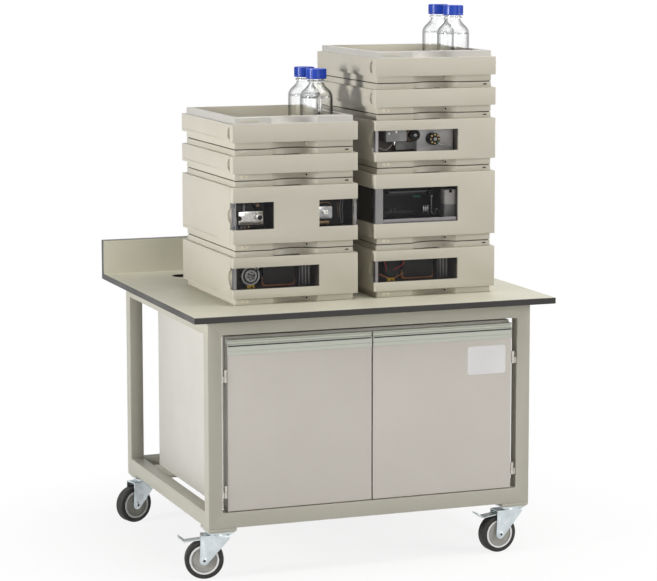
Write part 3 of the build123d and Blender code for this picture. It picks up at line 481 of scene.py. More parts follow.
# Instrument modules. Each has a foam plastic housing with two inset bands that stack on the
# next, and a moulded cover clipped over its front. All edges are softly rounded.
shell_tones = ((0.565, 0.540, 0.455), (0.545, 0.515, 0.430))
tray_tones = ((0.560, 0.545, 0.510), (0.535, 0.520, 0.485))
tray_rim = 0.0166
shell_edge = 0.0009
cover_edge = 0.0022
shell_plastic = finish(
    "Housing plastic", shell_tones, (0.42, 0.52), cloud=5.0, grain=1500.0, depth=0.16
)
tray_plastic = finish("Tray plastic", tray_tones, (0.42, 0.52), cloud=5.0, grain=1500.0, depth=0.16)
module_names = (
    "column_oven_left",
    "pump",
    "degasser_left",
    "column_oven_right",
    "sampler",
    "detector",
    "degasser_right",
)
for name in module_names:
    softened(name + "_housing", shell_edge, shell_plastic)
    softened(name + "_cover", cover_edge, shell_plastic, 3)
for name in ("solvent_tray_left", "solvent_tray_right"):
    tray = softened(name, cover_edge, shell_plastic, 3)
    tray.data.materials.append(tray_plastic)
    rim_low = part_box(name)[1][2] - tray_rim
    for face in tray.data.polygons:
        face.material_index = int(face.center.z > rim_low)

# Seam shade. A near-black strip, painted shade, lies in the joint between two stacked modules.
# Each is cut out of the joint's own part of the housing below it and pushed out to just behind the
# face.
seam_shade_tones = ((0.022, 0.021, 0.019), (0.012, 0.011, 0.010))
joint_height = 0.0022
joint_slack = 0.0002
seam_shade_push = 0.0036
# Painted shade: this near-black colour stands for the shadow in the joint.
seam_shade = finish("Black foam", seam_shade_tones, (0.7, 0.9), cloud=60.0, depth=0.4)
for name in module_names:
    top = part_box(name + "_housing")[1][2]
    seam_shade_strip = opened_copy(name + "_housing", name + "_gasket")
    bpy.context.tool_settings.mesh_select_mode = (True, False, False)
    bpy.ops.mesh.customdata_custom_splitnormals_clear()
    bpy.ops.mesh.select_all(action="SELECT")
    bpy.ops.mesh.bisect(
        plane_co=(0, 0, top - joint_height + joint_slack), plane_no=(0, 0, 1), clear_inner=True
    )
    bpy.ops.mesh.select_all(action="SELECT")
    bpy.ops.mesh.bisect(plane_co=(0, 0, top - joint_slack), plane_no=(0, 0, 1), clear_outer=True)
    bpy.ops.mesh.select_all(action="SELECT")
    bpy.ops.transform.shrink_fatten(value=seam_shade_push)
    bpy.ops.object.mode_set(mode="OBJECT")
    dress(seam_shade_strip, seam_shade)
    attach(seam_shade_strip, "bench")

# Details on the bands. A bare badge plate lies in the upper band's left end and a dark lamp
# window in its right end. A small cream reflector with a black dot sits in the lower band.
band_inset = 0.0108
band_width = 0.3204
upper_band = 0.0164
lower_band = 0.0170
badge_size = (0.0510, 0.0004, 0.0072)
badge_share = 0.125
lamp_size = (0.0100, 0.0005, 0.0034)
lamp_share = 0.947
reflector_size = (0.0200, 0.0004, 0.0070)
reflector_share = 0.077
reflector_dot = 0.0011
detail_corner = 0.0008
film_edge = 0.0001
sharp_angle = math.radians(40)
badge_tones = ((0.600, 0.580, 0.500), (0.570, 0.550, 0.470))
lamp_tones = ((0.030, 0.028, 0.028), (0.016, 0.015, 0.015))
cream_tones = ((0.740, 0.690, 0.560), (0.690, 0.640, 0.510))
badge_film = finish("Badge film", badge_tones, (0.28, 0.36), cloud=20.0, depth=0.05)
lamp_window = finish("Lamp window", lamp_tones, (0.12, 0.2), cloud=40.0, depth=0.03)
reflector_cream = finish("Reflector", cream_tones, (0.25, 0.35), cloud=40.0, depth=0.05)
dark_plastic = finish("Dark plastic", lamp_tones, (0.35, 0.5), cloud=20.0, depth=0.15)


def edit(kind):
    """Opens a piece for editing, with its edges or its faces to pick."""
    bpy.ops.object.mode_set(mode="EDIT")
    bpy.context.tool_settings.mesh_select_mode = (False, kind == "EDGE", kind == "FACE")


def eased(piece, edge):
    """Bevels the sharp edges of a piece by a small width."""
    ease = piece.modifiers.new("Ease", "BEVEL")
    ease.width = edge
    ease.segments = 2
    ease.limit_method = "ANGLE"
    ease.angle_limit = sharp_angle
    bpy.ops.object.modifier_apply(modifier="Ease")


def select_edges(piece, wanted):
    """In edit mode, selects the edges for which the test holds."""
    form = bmesh.from_edit_mesh(piece.data)
    bpy.ops.mesh.select_all(action="DESELECT")
    for edge in form.edges:
        edge.select_set(wanted(edge))
    bmesh.update_edit_mesh(piece.data)


def select_faces(piece, wanted):
    """In edit mode, selects the faces for which the test holds."""
    form = bmesh.from_edit_mesh(piece.data)
    bpy.ops.mesh.select_all(action="DESELECT")
    for face in form.faces:
        face.select_set(wanted(face))
    bmesh.update_edit_mesh(piece.data)


def seated(piece, name, material, body="bench"):
    """Ends a piece: its place goes into its mesh, and it gets its finish and its body."""
    settled(piece)
    piece.name = name
    dress(piece, material)
    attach(piece, body)
    return piece


def plate(name, centre, size, corner, edge, material, body="bench", through="Y"):
    """A block whose corners are rounded along one axis and whose edges are eased."""
    bpy.ops.mesh.primitive_cube_add(size=1, location=centre)
    piece = bpy.context.object
    piece.scale = size
    bpy.ops.object.transform_apply(location=False, rotation=False, scale=True)
    along = {"X": 0, "Y": 1, "Z": 2}[through]
    edit("EDGE")
    select_edges(
        piece,
        lambda line: abs((line.verts[0].co - line.verts[1].co).normalized()[along]) > 0.99,
    )
    bpy.ops.mesh.bevel(offset=corner, offset_type="OFFSET", segments=5, affect="EDGES")
    bpy.ops.object.mode_set(mode="OBJECT")
    eased(piece, edge)
    bpy.ops.object.shade_smooth_by_angle(angle=crease_angle)
    return seated(piece, name, material, body)


def turned(
    name, centre, radius, length, direction, steps, edge, material, body="bench", sides=48
):
    """A turned piece: a cylinder whose front is worked by insets and pushes along its axis.

    Each step is (inset, push): the front face shrinks by inset, then moves by push.
    """
    bpy.ops.mesh.primitive_cylinder_add(vertices=sides, radius=radius, depth=length)
    piece = bpy.context.object
    edit("FACE")
    select_faces(piece, lambda side: side.normal.z > 0.99)
    for inset, push in steps:
        if inset:
            bpy.ops.mesh.inset(thickness=inset, depth=0)
        if push:
            bpy.ops.mesh.extrude_region_move(TRANSFORM_OT_translate={"value": (0, 0, push)})
    close_edit()
    if edge:
        eased(piece, edge)
    bpy.ops.object.shade_smooth_by_angle(angle=crease_angle)
    piece.rotation_euler = Vector(direction).to_track_quat("Z", "Y").to_euler()
    piece.location = centre
    return seated(piece, name, material, body)


def stack_corner(name):
    """The left, front and bottom corner of a module, where its details are measured from."""
    low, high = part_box(name + "_housing" if name in module_names else name)
    return Vector((low[0], module_front, low[2])), high[2] - low[2]


module_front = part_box("pump_cover")[0][1]
out = (0, -1, 0)
for name in module_names + ("solvent_tray_left", "solvent_tray_right"):
    corner, height = stack_corner(name)
    band_face = corner + Vector((band_inset, band_inset, 0))
    upper_middle = height - upper_band / 2
    if name != "detector":
        plate(
            name + "_badge",
            band_face + Vector((badge_share * band_width, -badge_size[1] / 4, upper_middle)),
            badge_size, detail_corner, film_edge, badge_film,
        )
    if not name.startswith("solvent"):
        plate(
            name + "_lamp_window",
            band_face + Vector((lamp_share * band_width, -lamp_size[1] / 4, upper_middle)),
            lamp_size, detail_corner / 2, film_edge, lamp_window,
        )
        spot = band_face + Vector(
            (reflector_share * band_width, -reflector_size[1] / 4, lower_band / 2)
        )
        plate(
            name + "_reflector", spot, reflector_size, detail_corner, film_edge, reflector_cream,
        )
        turned(
            name + "_reflector_dot", spot + Vector((0, -reflector_size[1] / 2, 0)), reflector_dot,
            reflector_size[1], out, ((reflector_dot / 4, -film_edge),), 0, dark_plastic, sides=16,
        )

# Wheel discs and bolt recesses. A grey disc with shallow moulded panels closes each face of a
# wheel inside its white ring. The bolts that hold axle and pedal have a hollow in the head, shown
# as a dark disc of painted shade.
disc_radius = 0.0328
disc_thickness = 0.0040
disc_sunk = 0.0008
disc_rim = 0.0022
disc_panel = 0.0150
disc_bore = 0.0068
disc_tones = ((0.430, 0.425, 0.395), (0.350, 0.345, 0.320))
disc_plastic = finish("Disc plastic", disc_tones, (0.42, 0.55), cloud=30.0, depth=0.15)
hollow_shade_radius = 0.0034
bolt_reach = 0.010


def wheel_disc(name, centre, direction, body):
    """A disc cut from a cylinder: shallow panels let into its face, a bore for the axle."""
    bpy.ops.mesh.primitive_cylinder_add(vertices=48, radius=disc_radius, depth=disc_thickness)
    piece = bpy.context.object
    edit("FACE")
    select_faces(piece, lambda face: face.normal.z > 0.99)
    bpy.ops.mesh.inset(thickness=disc_rim, depth=0)
    bpy.ops.mesh.inset(thickness=disc_panel, depth=0)
    select_faces(piece, lambda face: face.normal.z < -0.99)
    bpy.ops.mesh.inset(thickness=disc_rim + disc_panel, depth=0)
    select_faces(
        piece,
        lambda face: abs(face.normal.z) > 0.99
        and face.calc_center_median().xy.length < disc_bore / 2,
    )
    bpy.ops.mesh.inset(thickness=disc_radius - disc_rim - disc_panel - disc_bore, depth=0)
    bpy.ops.mesh.bridge_edge_loops()
    select_faces(
        piece,
        lambda face: face.normal.z > 0.99
        and disc_radius - disc_rim - disc_panel
        < face.calc_center_median().xy.length
        < disc_radius - disc_rim,
    )
    bpy.ops.mesh.inset(thickness=0.0004, depth=-0.0006, use_individual=True)
    bpy.ops.object.mode_set(mode="OBJECT")
    bpy.ops.object.shade_smooth_by_angle(angle=math.radians(20))
    piece.rotation_euler = direction.to_track_quat("Z", "Y").to_euler()
    piece.location = centre
    return seated(piece, name, disc_plastic, body)


def outermost(node_name, place, direction, radius):
    """How far a node reaches along a direction within a radius of a line through a place."""
    source = frame["nodes"][node_name]
    gaps = [source.matrix_world @ point.co - place for point in source.data.vertices]
    along = [(gap.dot(direction), gap) for gap in gaps]
    return max(reach for reach, gap in along if (gap - direction * reach).length < radius)


for corner in ("front_left", "front_right", "rear_left", "rear_right"):
    for label, centre, direction, reach in wheel_faces(corner):
        wheel_disc(
            f"{corner}_disc_{label}",
            centre + direction * (reach - disc_sunk - disc_thickness / 2),
            direction, corner + "_wheel",
        )
        end = outermost(corner + "_fork", centre, direction, bolt_reach)
        head = centre + direction * (end + film_edge)
        # A dark disc in the bolt head: painted shade for its hollow.
        turned(
            f"{corner}_bolt_hollow_{label}", head, hollow_shade_radius, 0.0006, direction,
            ((hollow_shade_radius / 3, -0.0002),), 0.0001, dark_plastic, corner + "_fork", 24,
        )

# Groove shade. A thin strip in the black rubber finish lies in the finger groove of each door pull,
# painted shade for the groove.
groove_drop = 0.0160
groove_shade_height = 0.0030
for door in ("left_door", "right_door"):
    low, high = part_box(door + "_pull")
    plate(
        door + "_groove_shade_strip",
        Vector(((low[0] + high[0]) / 2, low[1] + 0.0009, high[2] - groove_drop)),
        (high[0] - low[0] - 0.004, 0.0012, groove_shade_height), 0.0004, 0.0002, tyre_rubber, door,
    )

# Windows. Clear moulded panes, a little smoked, let into the covers. Where a pane turns a
# corner, a frosted grey strip is folded round behind it; its sideways faces get a darker copy
# of the grey, painted shade. The pump's panes have small latches.
pane_tint = (0.030, 0.030, 0.034)
smoke_tint = (0.062, 0.056, 0.050)
frost_tones = ((0.470, 0.455, 0.465), (0.410, 0.395, 0.405))
# A darker copy of the frosted grey: painted shade for the strip's sideways faces and the sill's
# lip.
shaded_return_tones = ((0.175, 0.172, 0.190), (0.140, 0.137, 0.152))
strip_width = 0.0075
strip_return = 0.0150
strip_thickness = 0.0016
sampler_strip = 0.0210
pane_wall = 0.0032
latch_size = (0.0022, 0.0010, 0.0075)
latch_inset = 0.0065
latch_inward = 0.0048


def pane_material(name, tint, cover):
    """Clear plastic that darkens what is behind it and keeps a sharp gloss."""
    made = finish(name, (tint, tint), (0.02, 0.05), cloud=8.0, depth=0.0)
    shader = made.node_tree.nodes["Principled BSDF"]
    shader.inputs["Alpha"].default_value = cover
    return made


window_pane = pane_material("Window pane", pane_tint, 0.12)
clear_pane = pane_material("Clear pane", pane_tint, 0.03)
smoked_pane = pane_material("Smoked pane", smoke_tint, 0.65)
frosted = finish("Frosted corner", frost_tones, (0.30, 0.42), cloud=40.0, depth=0.1)
frosted_shade = finish("Frosted return painted shade", shaded_return_tones, (0.30, 0.42), cloud=40.0, depth=0.1)
for name in ("column_oven_left", "column_oven_right", "pump", "detector", "sampler"):
    paint(name + "_window", clear_pane if name == "detector" else window_pane)
paint("sampler_side_window", smoked_pane)


def corner_strip(name, module, side, width, low, high):
    """An upright strip folded round the corner, just behind the pane."""
    pane_low, pane_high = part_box(module + "_window")
    edge_x = pane_low[0] + pane_wall if side < 0 else pane_high[0] - pane_wall
    edge_y = pane_low[1] + pane_wall
    bpy.ops.mesh.primitive_cube_add(size=1)
    piece = bpy.context.object
    piece.scale = (strip_thickness, strip_return, high - low)
    piece.location = (
        edge_x - side * strip_thickness / 2,
        edge_y + strip_return / 2,
        (low + high) / 2,
    )
    bpy.ops.object.transform_apply(location=True, rotation=False, scale=True)
    edit("FACE")
    bpy.ops.mesh.select_all(action="SELECT")
    bpy.ops.mesh.bisect(
        plane_co=(0, edge_y + strip_thickness, 0), plane_no=(0, 1, 0), use_fill=False
    )
    inner = edge_x - side * strip_thickness
    select_faces(
        piece,
        lambda face: abs(face.calc_center_median().x - inner) < 1e-5
        and face.calc_center_median().y < edge_y + strip_thickness,
    )
    bpy.ops.mesh.extrude_region_move(
        TRANSFORM_OT_translate={"value": (-side * (width - strip_thickness), 0, 0)}
    )
    close_edit()
    bpy.ops.object.shade_smooth_by_angle(angle=math.radians(30))
    strip = seated(piece, name, frosted, module + "_cover")
    # The sideways faces take the darker copy of the frosted grey: painted shade.
    strip.data.materials.append(frosted_shade)
    for face in strip.data.polygons:
        face.material_index = int(abs(face.normal.x) > 0.5)
    return strip


for name, sides in (
    ("column_oven_left", (-1,)),
    ("column_oven_right", (-1,)),
    ("detector", (-1,)),
    ("pump", (-1, 1)),
    ("sampler", (-1,)),
):
    pane_low, pane_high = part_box(name + "_window")
    for side in sides:
        width = sampler_strip if name == "sampler" else strip_width
        label = name + ("_corner_strip" if side < 0 else "_corner_strip_right")
        corner_strip(label, name, side, width, pane_low[2], pane_high[2])
        if name != "pump":
            continue
        edge_x = pane_low[0] if side < 0 else pane_high[0]
        for end, level in (
            ("low", pane_low[2] + latch_inset),
            ("high", pane_high[2] - latch_inset),
        ):
            plate(
                f"{label}_latch_{end}",
                Vector((edge_x - side * latch_inward, pane_low[1] - latch_size[1] / 4, level)),
                latch_size, latch_size[0] / 3, film_edge, dark_plastic, name + "_cover",
            )

# Compartment linings. Behind each window the housing is lined with folded dark sheet, open
# at the front, and the fittings are screwed to its back wall.
lining_tones = ((0.150, 0.128, 0.108), (0.110, 0.092, 0.076))
well_tones = ((0.030, 0.028, 0.027), (0.018, 0.017, 0.016))
lining_gap = 0.0005
lining_sheet = 0.0008
window_frame = 0.0070
mouth_depth = 0.0222
compartment_depth = 0.0950
sampler_depth = 0.2150
side_wall = 0.0070
lining_paint = finish("Lining paint", lining_tones, (0.4, 0.55), cloud=12.0, depth=0.2)
well_paint = finish("Well paint", well_tones, (0.4, 0.55), cloud=12.0, depth=0.2)


def lining(name, low, high, material, open_left=False):
    """A five sided tray of sheet, turned on its side, with its mouth to the front."""
    bpy.ops.mesh.primitive_cube_add(size=1, location=(Vector(low) + Vector(high)) / 2)
    piece = bpy.context.object
    piece.scale = Vector(high) - Vector(low)
    bpy.ops.object.transform_apply(location=False, rotation=False, scale=True)
    edit("FACE")
    select_faces(
        piece, lambda face: face.normal.y < -0.9 or (open_left and face.normal.x < -0.9)
    )
    bpy.ops.mesh.delete(type="FACE")
    bpy.ops.object.mode_set(mode="OBJECT")
    wall = piece.modifiers.new("Wall", "SOLIDIFY")
    wall.thickness = lining_sheet
    wall.offset = -1
    bpy.ops.object.modifier_apply(modifier="Wall")
    return seated(piece, name, material)


pump_left_share = 0.327
pump_right_share = 0.687
wide_share = 0.687
module_width = 0.3420
for name in ("column_oven_left", "column_oven_right", "detector", "sampler", "pump"):
    corner, height = stack_corner(name)
    pane_low, pane_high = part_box(name + "_window")
    depth = sampler_depth if name == "sampler" else compartment_depth
    spans = ((0, wide_share),) if name != "pump" else ((0, pump_left_share), (pump_right_share, 1))
    for number, (start, end) in enumerate(spans):
        left = corner.x + max(start * module_width, side_wall) + lining_gap
        right = corner.x + min(end * module_width + window_frame, module_width - side_wall)
        reach = window_frame - lining_gap
        lining(
            f"{name}_lining_{number + 1}" if name == "pump" else name + "_lining",
            (left, module_front + mouth_depth, pane_low[2] - reach),
            (right - lining_gap, module_front + depth - lining_gap, pane_high[2] + reach),
            well_paint if name in ("sampler", "pump") else lining_paint,
            open_left=name == "sampler",
        )

# Column oven fittings. Each oven has a black moulded heater cover with orange silicone trim,
# a yellow earth tag and a bay of thin steel columns at the right. The left oven has a
# switching valve in a clamp ring, the right one a second, round heater cover.
steel_tones = ((0.62, 0.62, 0.61), (0.40, 0.40, 0.39))
black_tones = ((0.020, 0.017, 0.015), (0.010, 0.009, 0.008))
orange_tones = ((0.560, 0.220, 0.080), (0.460, 0.170, 0.055))
yellow_tones = ((0.720, 0.430, 0.010), (0.620, 0.350, 0.010))
red_tones = ((0.480, 0.020, 0.030), (0.360, 0.012, 0.020))
grey_tones = ((0.300, 0.300, 0.300), (0.200, 0.200, 0.200))
oven_front = 0.0430
heater_low = (0.0960, 0.0440)
heater_high = (0.1830, 0.0970)
heater_corner = 0.0110
trim_reach = 0.0036
trim_depth = 0.0060
trim_share = 0.5
valve_centre = (0.0636, 0.0690)
valve_radius = 0.0165
ring_outer = 0.0250
ring_inner = 0.0205
ring_depth = 0.0100
arm_end = (0.0860, 0.0950)
tag_centre = (0.0607, 0.0420)
tag_size = (0.0200, 0.0012, 0.0085)
round_heater_centre = (0.0640, 0.0700)
round_heater_radius = 0.0240
column_starts = (0.2065, 0.2150, 0.2240)
column_radius = 0.0024
column_low = 0.0400
column_high = 0.0960
bay_wall = 0.1960
bay_middle = (oven_front + compartment_depth) / 2
dull_steel = finish(
    "Dull steel", (grey_tones[0], steel_tones[1]), (0.35, 0.5), 0.7,
    cloud=60.0, grain=400.0, depth=0.1,
)
steel = finish("Turned steel", steel_tones, (0.18, 0.34), 1.0, cloud=60.0, grain=400.0, depth=0.06)
black_moulding = finish("Black moulding", black_tones, (0.4, 0.6), cloud=30.0, depth=0.25)
black_moulding.node_tree.nodes["Principled BSDF"].inputs["Specular IOR Level"].default_value = 0.25
orange_trim = finish("Orange trim", orange_tones, (0.45, 0.6), cloud=50.0, depth=0.2)
yellow_tag = finish("Yellow tag", yellow_tones, (0.35, 0.5), cloud=60.0, depth=0.1)
red_wire = finish("Red wire", red_tones, (0.35, 0.5), cloud=80.0, depth=0.05)
grey_sheet = finish("Grey sheet", grey_tones, (0.3, 0.45), 0.6, cloud=25.0, depth=0.1)


def inside(name, across=0, inward=0, up=0):
    """A point in a module, from its left, front and bottom corner."""
    return stack_corner(name)[0] + Vector((across, inward, up))


def amid(name, low, high, inward):
    """The middle of a rectangle on a module's front, at some depth."""
    return inside(name, (low[0] + high[0]) / 2, inward, (low[1] + high[1]) / 2)


def wire(name, origin, bends, radius, material):
    """A thin bent tube or wire, drawn as a smooth path that its bends pull on."""
    bpy.ops.curve.primitive_nurbs_path_add()
    path = bpy.context.object
    path.data.splines.clear()
    spline = path.data.splines.new("NURBS")
    spline.points.add(len(bends) - 1)
    for point, bend in zip(spline.points, bends):
        point.co = (*(origin + Vector(bend)), 1)
    spline.order_u = 3
    spline.use_endpoint_u = True
    path.data.bevel_depth = radius
    path.data.bevel_resolution = 1
    path.data.use_fill_caps = True
    bpy.ops.object.convert(target="MESH")
    piece = bpy.context.object
    bpy.ops.object.shade_smooth()
    return seated(piece, name, material)


def collar(name, centre, outer, inner, depth, material):
    """A flat ring that faces forward, its edges eased."""
    piece = flat_ring(64, outer, inner, depth)
    eased(piece, 0.0005)
    bpy.ops.object.shade_smooth_by_angle(angle=crease_angle)
    piece.rotation_euler = Vector(out).to_track_quat("Z", "Y").to_euler()
    piece.location = centre
    return seated(piece, name, material)


def heater(name, module, low, high, corner_radius):
    """A black moulded cover that stands off the back wall, with orange trim under it."""
    depth = compartment_depth - oven_front
    middle = amid(module, low, high, oven_front + depth / 2)
    size = Vector((high[0] - low[0], depth - 0.002, high[1] - low[1]))
    cover = plate(name, middle, size, corner_radius, 0.0016, black_moulding)
    trim_size = Vector((size.x + trim_reach, trim_depth, trim_share * size.z))
    trim_drop = (1 - trim_share) / 2 * size.z + trim_reach
    trim_place = middle + Vector((0, (trim_depth - size.y) / 2 + trim_reach, -trim_drop))
    plate(name + "_trim", trim_place, trim_size, corner_radius / 2, 0.0008, orange_trim)
    return cover


for side, module in (("left", "column_oven_left"), ("right", "column_oven_right")):
    cover = heater(side + "_oven_heater", module, heater_low, heater_high, heater_corner)
    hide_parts(module + "_fittings")
    plate(
        side + "_oven_tag", inside(module, tag_centre[0], oven_front - 0.004, tag_centre[1]),
        tag_size, 0.001, 0.0002, yellow_tag,
    )
    turned(
        side + "_oven_tag_hole",
        inside(module, tag_centre[0] + 0.003, oven_front - 0.005, tag_centre[1] - 0.002),
        0.0028, 0.0008, out, ((0.0006, -0.0002),), 0, black_moulding, sides=20,
    )
    for number, start in enumerate(column_starts):
        turned(
            f"{side}_oven_column_{number + 1}",
            inside(module, start, oven_front + 0.008, (column_low + column_high) / 2),
            column_radius, column_high - column_low, (0, 0, 1),
            ((0.0006, 0.002), (0.0004, 0.002)), 0.0002, dull_steel, sides=20,
        )
    plate(
        side + "_oven_bay_wall",
        inside(module, bay_wall, bay_middle, (column_low + column_high) / 2),
        (0.0012, compartment_depth - oven_front, column_high - column_low + 0.008),
        0.0001, 0.0002, grey_sheet, through="X",
    )

valve_place = inside("column_oven_left", valve_centre[0], oven_front + 0.002, valve_centre[1])
turned(
    "valve_body", valve_place + Vector((0, 0.024, 0)), valve_radius, 0.048, out,
    ((0.0015, 0.0012), (0.0035, -0.0010), (0.0040, 0.0008), (0.0030, -0.0006)), 0.0004, dull_steel,
)
clamp_place = valve_place + Vector((0, 0.012, 0))
collar("valve_clamp", clamp_place, ring_outer, ring_inner, ring_depth, dull_steel)
wire(
    "valve_clamp_arm", inside("column_oven_left"),
    (
        (valve_centre[0] + 0.0180, oven_front + 0.006, valve_centre[1] + 0.0130),
        (arm_end[0] - 0.006, oven_front, arm_end[1] - 0.010), (arm_end[0], oven_front, arm_end[1]),
    ),
    0.0028, steel,
)
for number in range(6):
    angle = math.radians(60 * number + 15)
    spot = valve_place + Vector((0.0095 * math.cos(angle), -0.002, 0.0095 * math.sin(angle)))
    turned(
        f"valve_port_{number + 1}", spot, 0.0016, 0.003, out, ((0.0005, -0.0005),), 0,
        black_moulding, sides=12,
    )
for number, lift in enumerate((-0.0035, 0.0030)):
    wire(
        f"valve_loop_{number + 1}", valve_place,
        (
            (-0.0090, -0.003, lift), (-0.0030, -0.009, lift + 0.0060),
            (0.0020, -0.009, lift - 0.0070), (0.0090, -0.003, lift + 0.0030),
        ),
        0.0009, black_moulding,
    )

round_place = amid(
    "column_oven_right", round_heater_centre, round_heater_centre, oven_front + 0.026
)
turned(
    "round_heater", round_place, round_heater_radius, 0.052, out,
    ((0.0020, 0.0020), (0.0050, 0.0), (0.0015, -0.0015)), 0.0006, black_moulding,
)
for number, side in enumerate((-1, 1)):
    wire(
        f"round_heater_trim_{number + 1}", round_place,
        (
            (side * 0.034, -0.026, -0.0140), (side * 0.022, -0.026, -0.0180),
            (side * 0.008, -0.026, -0.0260), (0, -0.026, -0.0270),
        ),
        0.0017, orange_trim,
    )
lead_ends = (((0.0400, 0.0940), (0.0460, 0.0650)), ((0.0930, 0.0930), (0.0690, 0.0680)))
for number, (top, bottom) in enumerate(lead_ends):
    wire(
        f"heater_lead_{number + 1}", inside("column_oven_right"),
        (
            (top[0], 0.0300, top[1]), (top[0], 0.0300, top[1] - 0.010),
            ((top[0] + bottom[0]) / 2 + 0.003, 0.0320, (top[1] + bottom[1]) / 2 - 0.004),
            (bottom[0], 0.0400, bottom[1]),
        ),
        0.0016, red_wire,
    )

# Pump fittings. Two stainless pump heads on their drives: a bright polished head with its
# valves behind the left window, and a plain head with a bronze adapter behind the right one.
polished_tones = ((0.86, 0.84, 0.80), (0.66, 0.64, 0.60))
bronze_tones = ((0.360, 0.240, 0.130), (0.240, 0.150, 0.080))
clear_tube_tones = ((0.50, 0.52, 0.54), (0.38, 0.40, 0.42))
head_low = (0.0290, 0.0620)
head_high = (0.0960, 0.0975)
head_front = 0.0390
head_bore_radius = 0.0062
head_valve_radius = 0.0088
left_bore = (0.0315, 0.0800)
right_bore = (0.0835, 0.0815)
outlet_centre = (0.0850, 0.1100)
outlet_radius = 0.0120
purge_centre = (0.0500, 0.1040)
second_head_low = (0.2440, 0.0700)
second_head_high = (0.2850, 0.1030)
second_bore = (0.2640, 0.0880)
polished = finish(
    "Polished steel", polished_tones, (0.10, 0.24), 1.0,
    cloud=70.0, grain=300.0, depth=0.05,
)
bronze = finish("Bronze fitting", bronze_tones, (0.25, 0.4), 1.0, cloud=70.0, depth=0.06)
clear_tube = finish("Clear tubing", clear_tube_tones, (0.12, 0.2), cloud=60.0, depth=0.02)


def head_block(name, low, high, front, material):
    """A pump head: a block that reaches from the back wall, its edges well rounded."""
    reach = compartment_depth - front - 0.001
    middle = amid("pump", low, high, front + reach / 2)
    size = (high[0] - low[0], reach, high[1] - low[1])
    return plate(name, middle, size, 0.0030, 0.0010, material)


def recess(name, place, radius, depth, material):
    """A counterbored hole in a face: a black cup, painted shade for its depth, with a bright rim.
    """
    return turned(
        name, inside("pump", place[0], depth + 0.0005, place[1]), radius, 0.001, out,
        ((0.0008, 0.0006), (0.0008, -0.0009)), 0, material, sides=32,
    )


first_head = head_block("left_pump_head", head_low, head_high, head_front, polished)
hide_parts("pump_fittings")
# Both bores are black cups, painted shade for the holes in the steel head.
recess("left_pump_bore_shade", left_bore, head_bore_radius, head_front - 0.0008, black_moulding)
recess("left_pump_valve_bore_shade", right_bore, head_bore_radius, head_front - 0.0105, black_moulding)
turned(
    "left_pump_valve", inside("pump", right_bore[0], head_front - 0.005, right_bore[1]),
    head_valve_radius, 0.010, out, ((0.0010, 0.0006), (0.0014, -0.0006)), 0.0003, polished,
)
turned(
    "left_pump_outlet", inside("pump", outlet_centre[0], 0.062, outlet_centre[1]),
    outlet_radius, 0.030, (0.15, -1, 0.1),
    ((0.0020, 0.0030), (0.0020, 0.0), (0.0010, -0.0040)), 0.0006, black_moulding,
)
turned(
    "left_pump_outlet_nut",
    inside("pump", outlet_centre[0] - 0.004, 0.043, outlet_centre[1] + 0.002),
    0.0045, 0.008, (-0.2, -1, 0.2), ((0.0012, 0.0016), (0.0010, 0.0020)), 0.0003, bronze, sides=6,
)
turned(
    "left_pump_purge_valve", inside("pump", purge_centre[0], 0.060, purge_centre[1]),
    0.0050, 0.016, (0, 0, 1), ((0.0010, 0.0040), (0.0012, 0.0040)), 0.0004, steel, sides=6,
)
plate(
    "left_pump_drive", inside("pump", 0.0540, 0.078, 0.0850), (0.0820, 0.030, 0.0560),
    0.0060, 0.0012, dark_plastic,
)
for number, start in enumerate((0.0170, 0.0350, 0.0620)):
    turned(
        f"left_pump_screw_{number + 1}",
        inside("pump", start + 0.012, head_front - 0.001, head_high[1] - 0.005),
        0.0022, 0.003, out, ((0.0007, 0.0), (0.0003, -0.0010)), 0.0001, steel, sides=16,
    )
wire(
    "left_pump_inlet_tube", inside("pump"),
    (
        (0.0120, 0.040, 0.1180), (0.0150, 0.034, 0.1020), (0.0205, 0.032, 0.0800),
        (0.0215, 0.032, 0.0640), (0.0260, 0.036, 0.0520),
    ),
    0.0011, clear_tube,
)
wire(
    "left_pump_outlet_tube", inside("pump"),
    (
        (0.0500, 0.060, 0.1160), (0.0560, 0.050, 0.1210), (0.0700, 0.042, 0.1200),
        (0.0780, 0.040, 0.1140),
    ),
    0.0009, steel,
)
for number, (across, up) in enumerate(((0.0380, 0.0560), (0.0480, 0.0555), (0.0580, 0.0565))):
    turned(
        f"left_pump_union_{number + 1}", inside("pump", across, 0.046, up), 0.0030, 0.006,
        out, ((0.0008, 0.0012), (0.0008, 0.0012)), 0.0002,
        clear_tube if number == 0 else bronze, sides=12,
    )

head_block("right_pump_head", second_head_low, second_head_high, head_front, steel)
turned(
    "right_pump_valve", inside("pump", second_bore[0], head_front - 0.004, second_bore[1]),
    0.0072, 0.008, out, ((0.0010, 0.0006), (0.0012, -0.0008), (0.0016, 0.0010)), 0.0003, polished,
)
plate(
    "right_pump_adapter", inside("pump", 0.2620, 0.060, 0.0600), (0.0300, 0.040, 0.0090),
    0.0020, 0.0008, bronze,
)
wire(
    "right_pump_bridge", inside("pump"),
    (
        (0.2430, 0.048, 0.1060), (0.2480, 0.044, 0.1120), (0.2640, 0.042, 0.1130),
        (0.2800, 0.044, 0.1120), (0.2840, 0.048, 0.1060),
    ),
    0.0017, bronze,
)
for number, shift in enumerate((0.0, 0.0055, 0.0120)):
    wire(
        f"right_pump_line_{number + 1}", inside("pump"),
        (
            (0.3080 + shift, 0.050, 0.1230), (0.3030 + shift, 0.044, 0.1080),
            (0.3010 + shift, 0.042, 0.0900), (0.3040 + shift, 0.044, 0.0720),
            (0.3120 + shift / 2, 0.050, 0.0560),
        ),
        0.0010, clear_tube if number else bronze,
    )

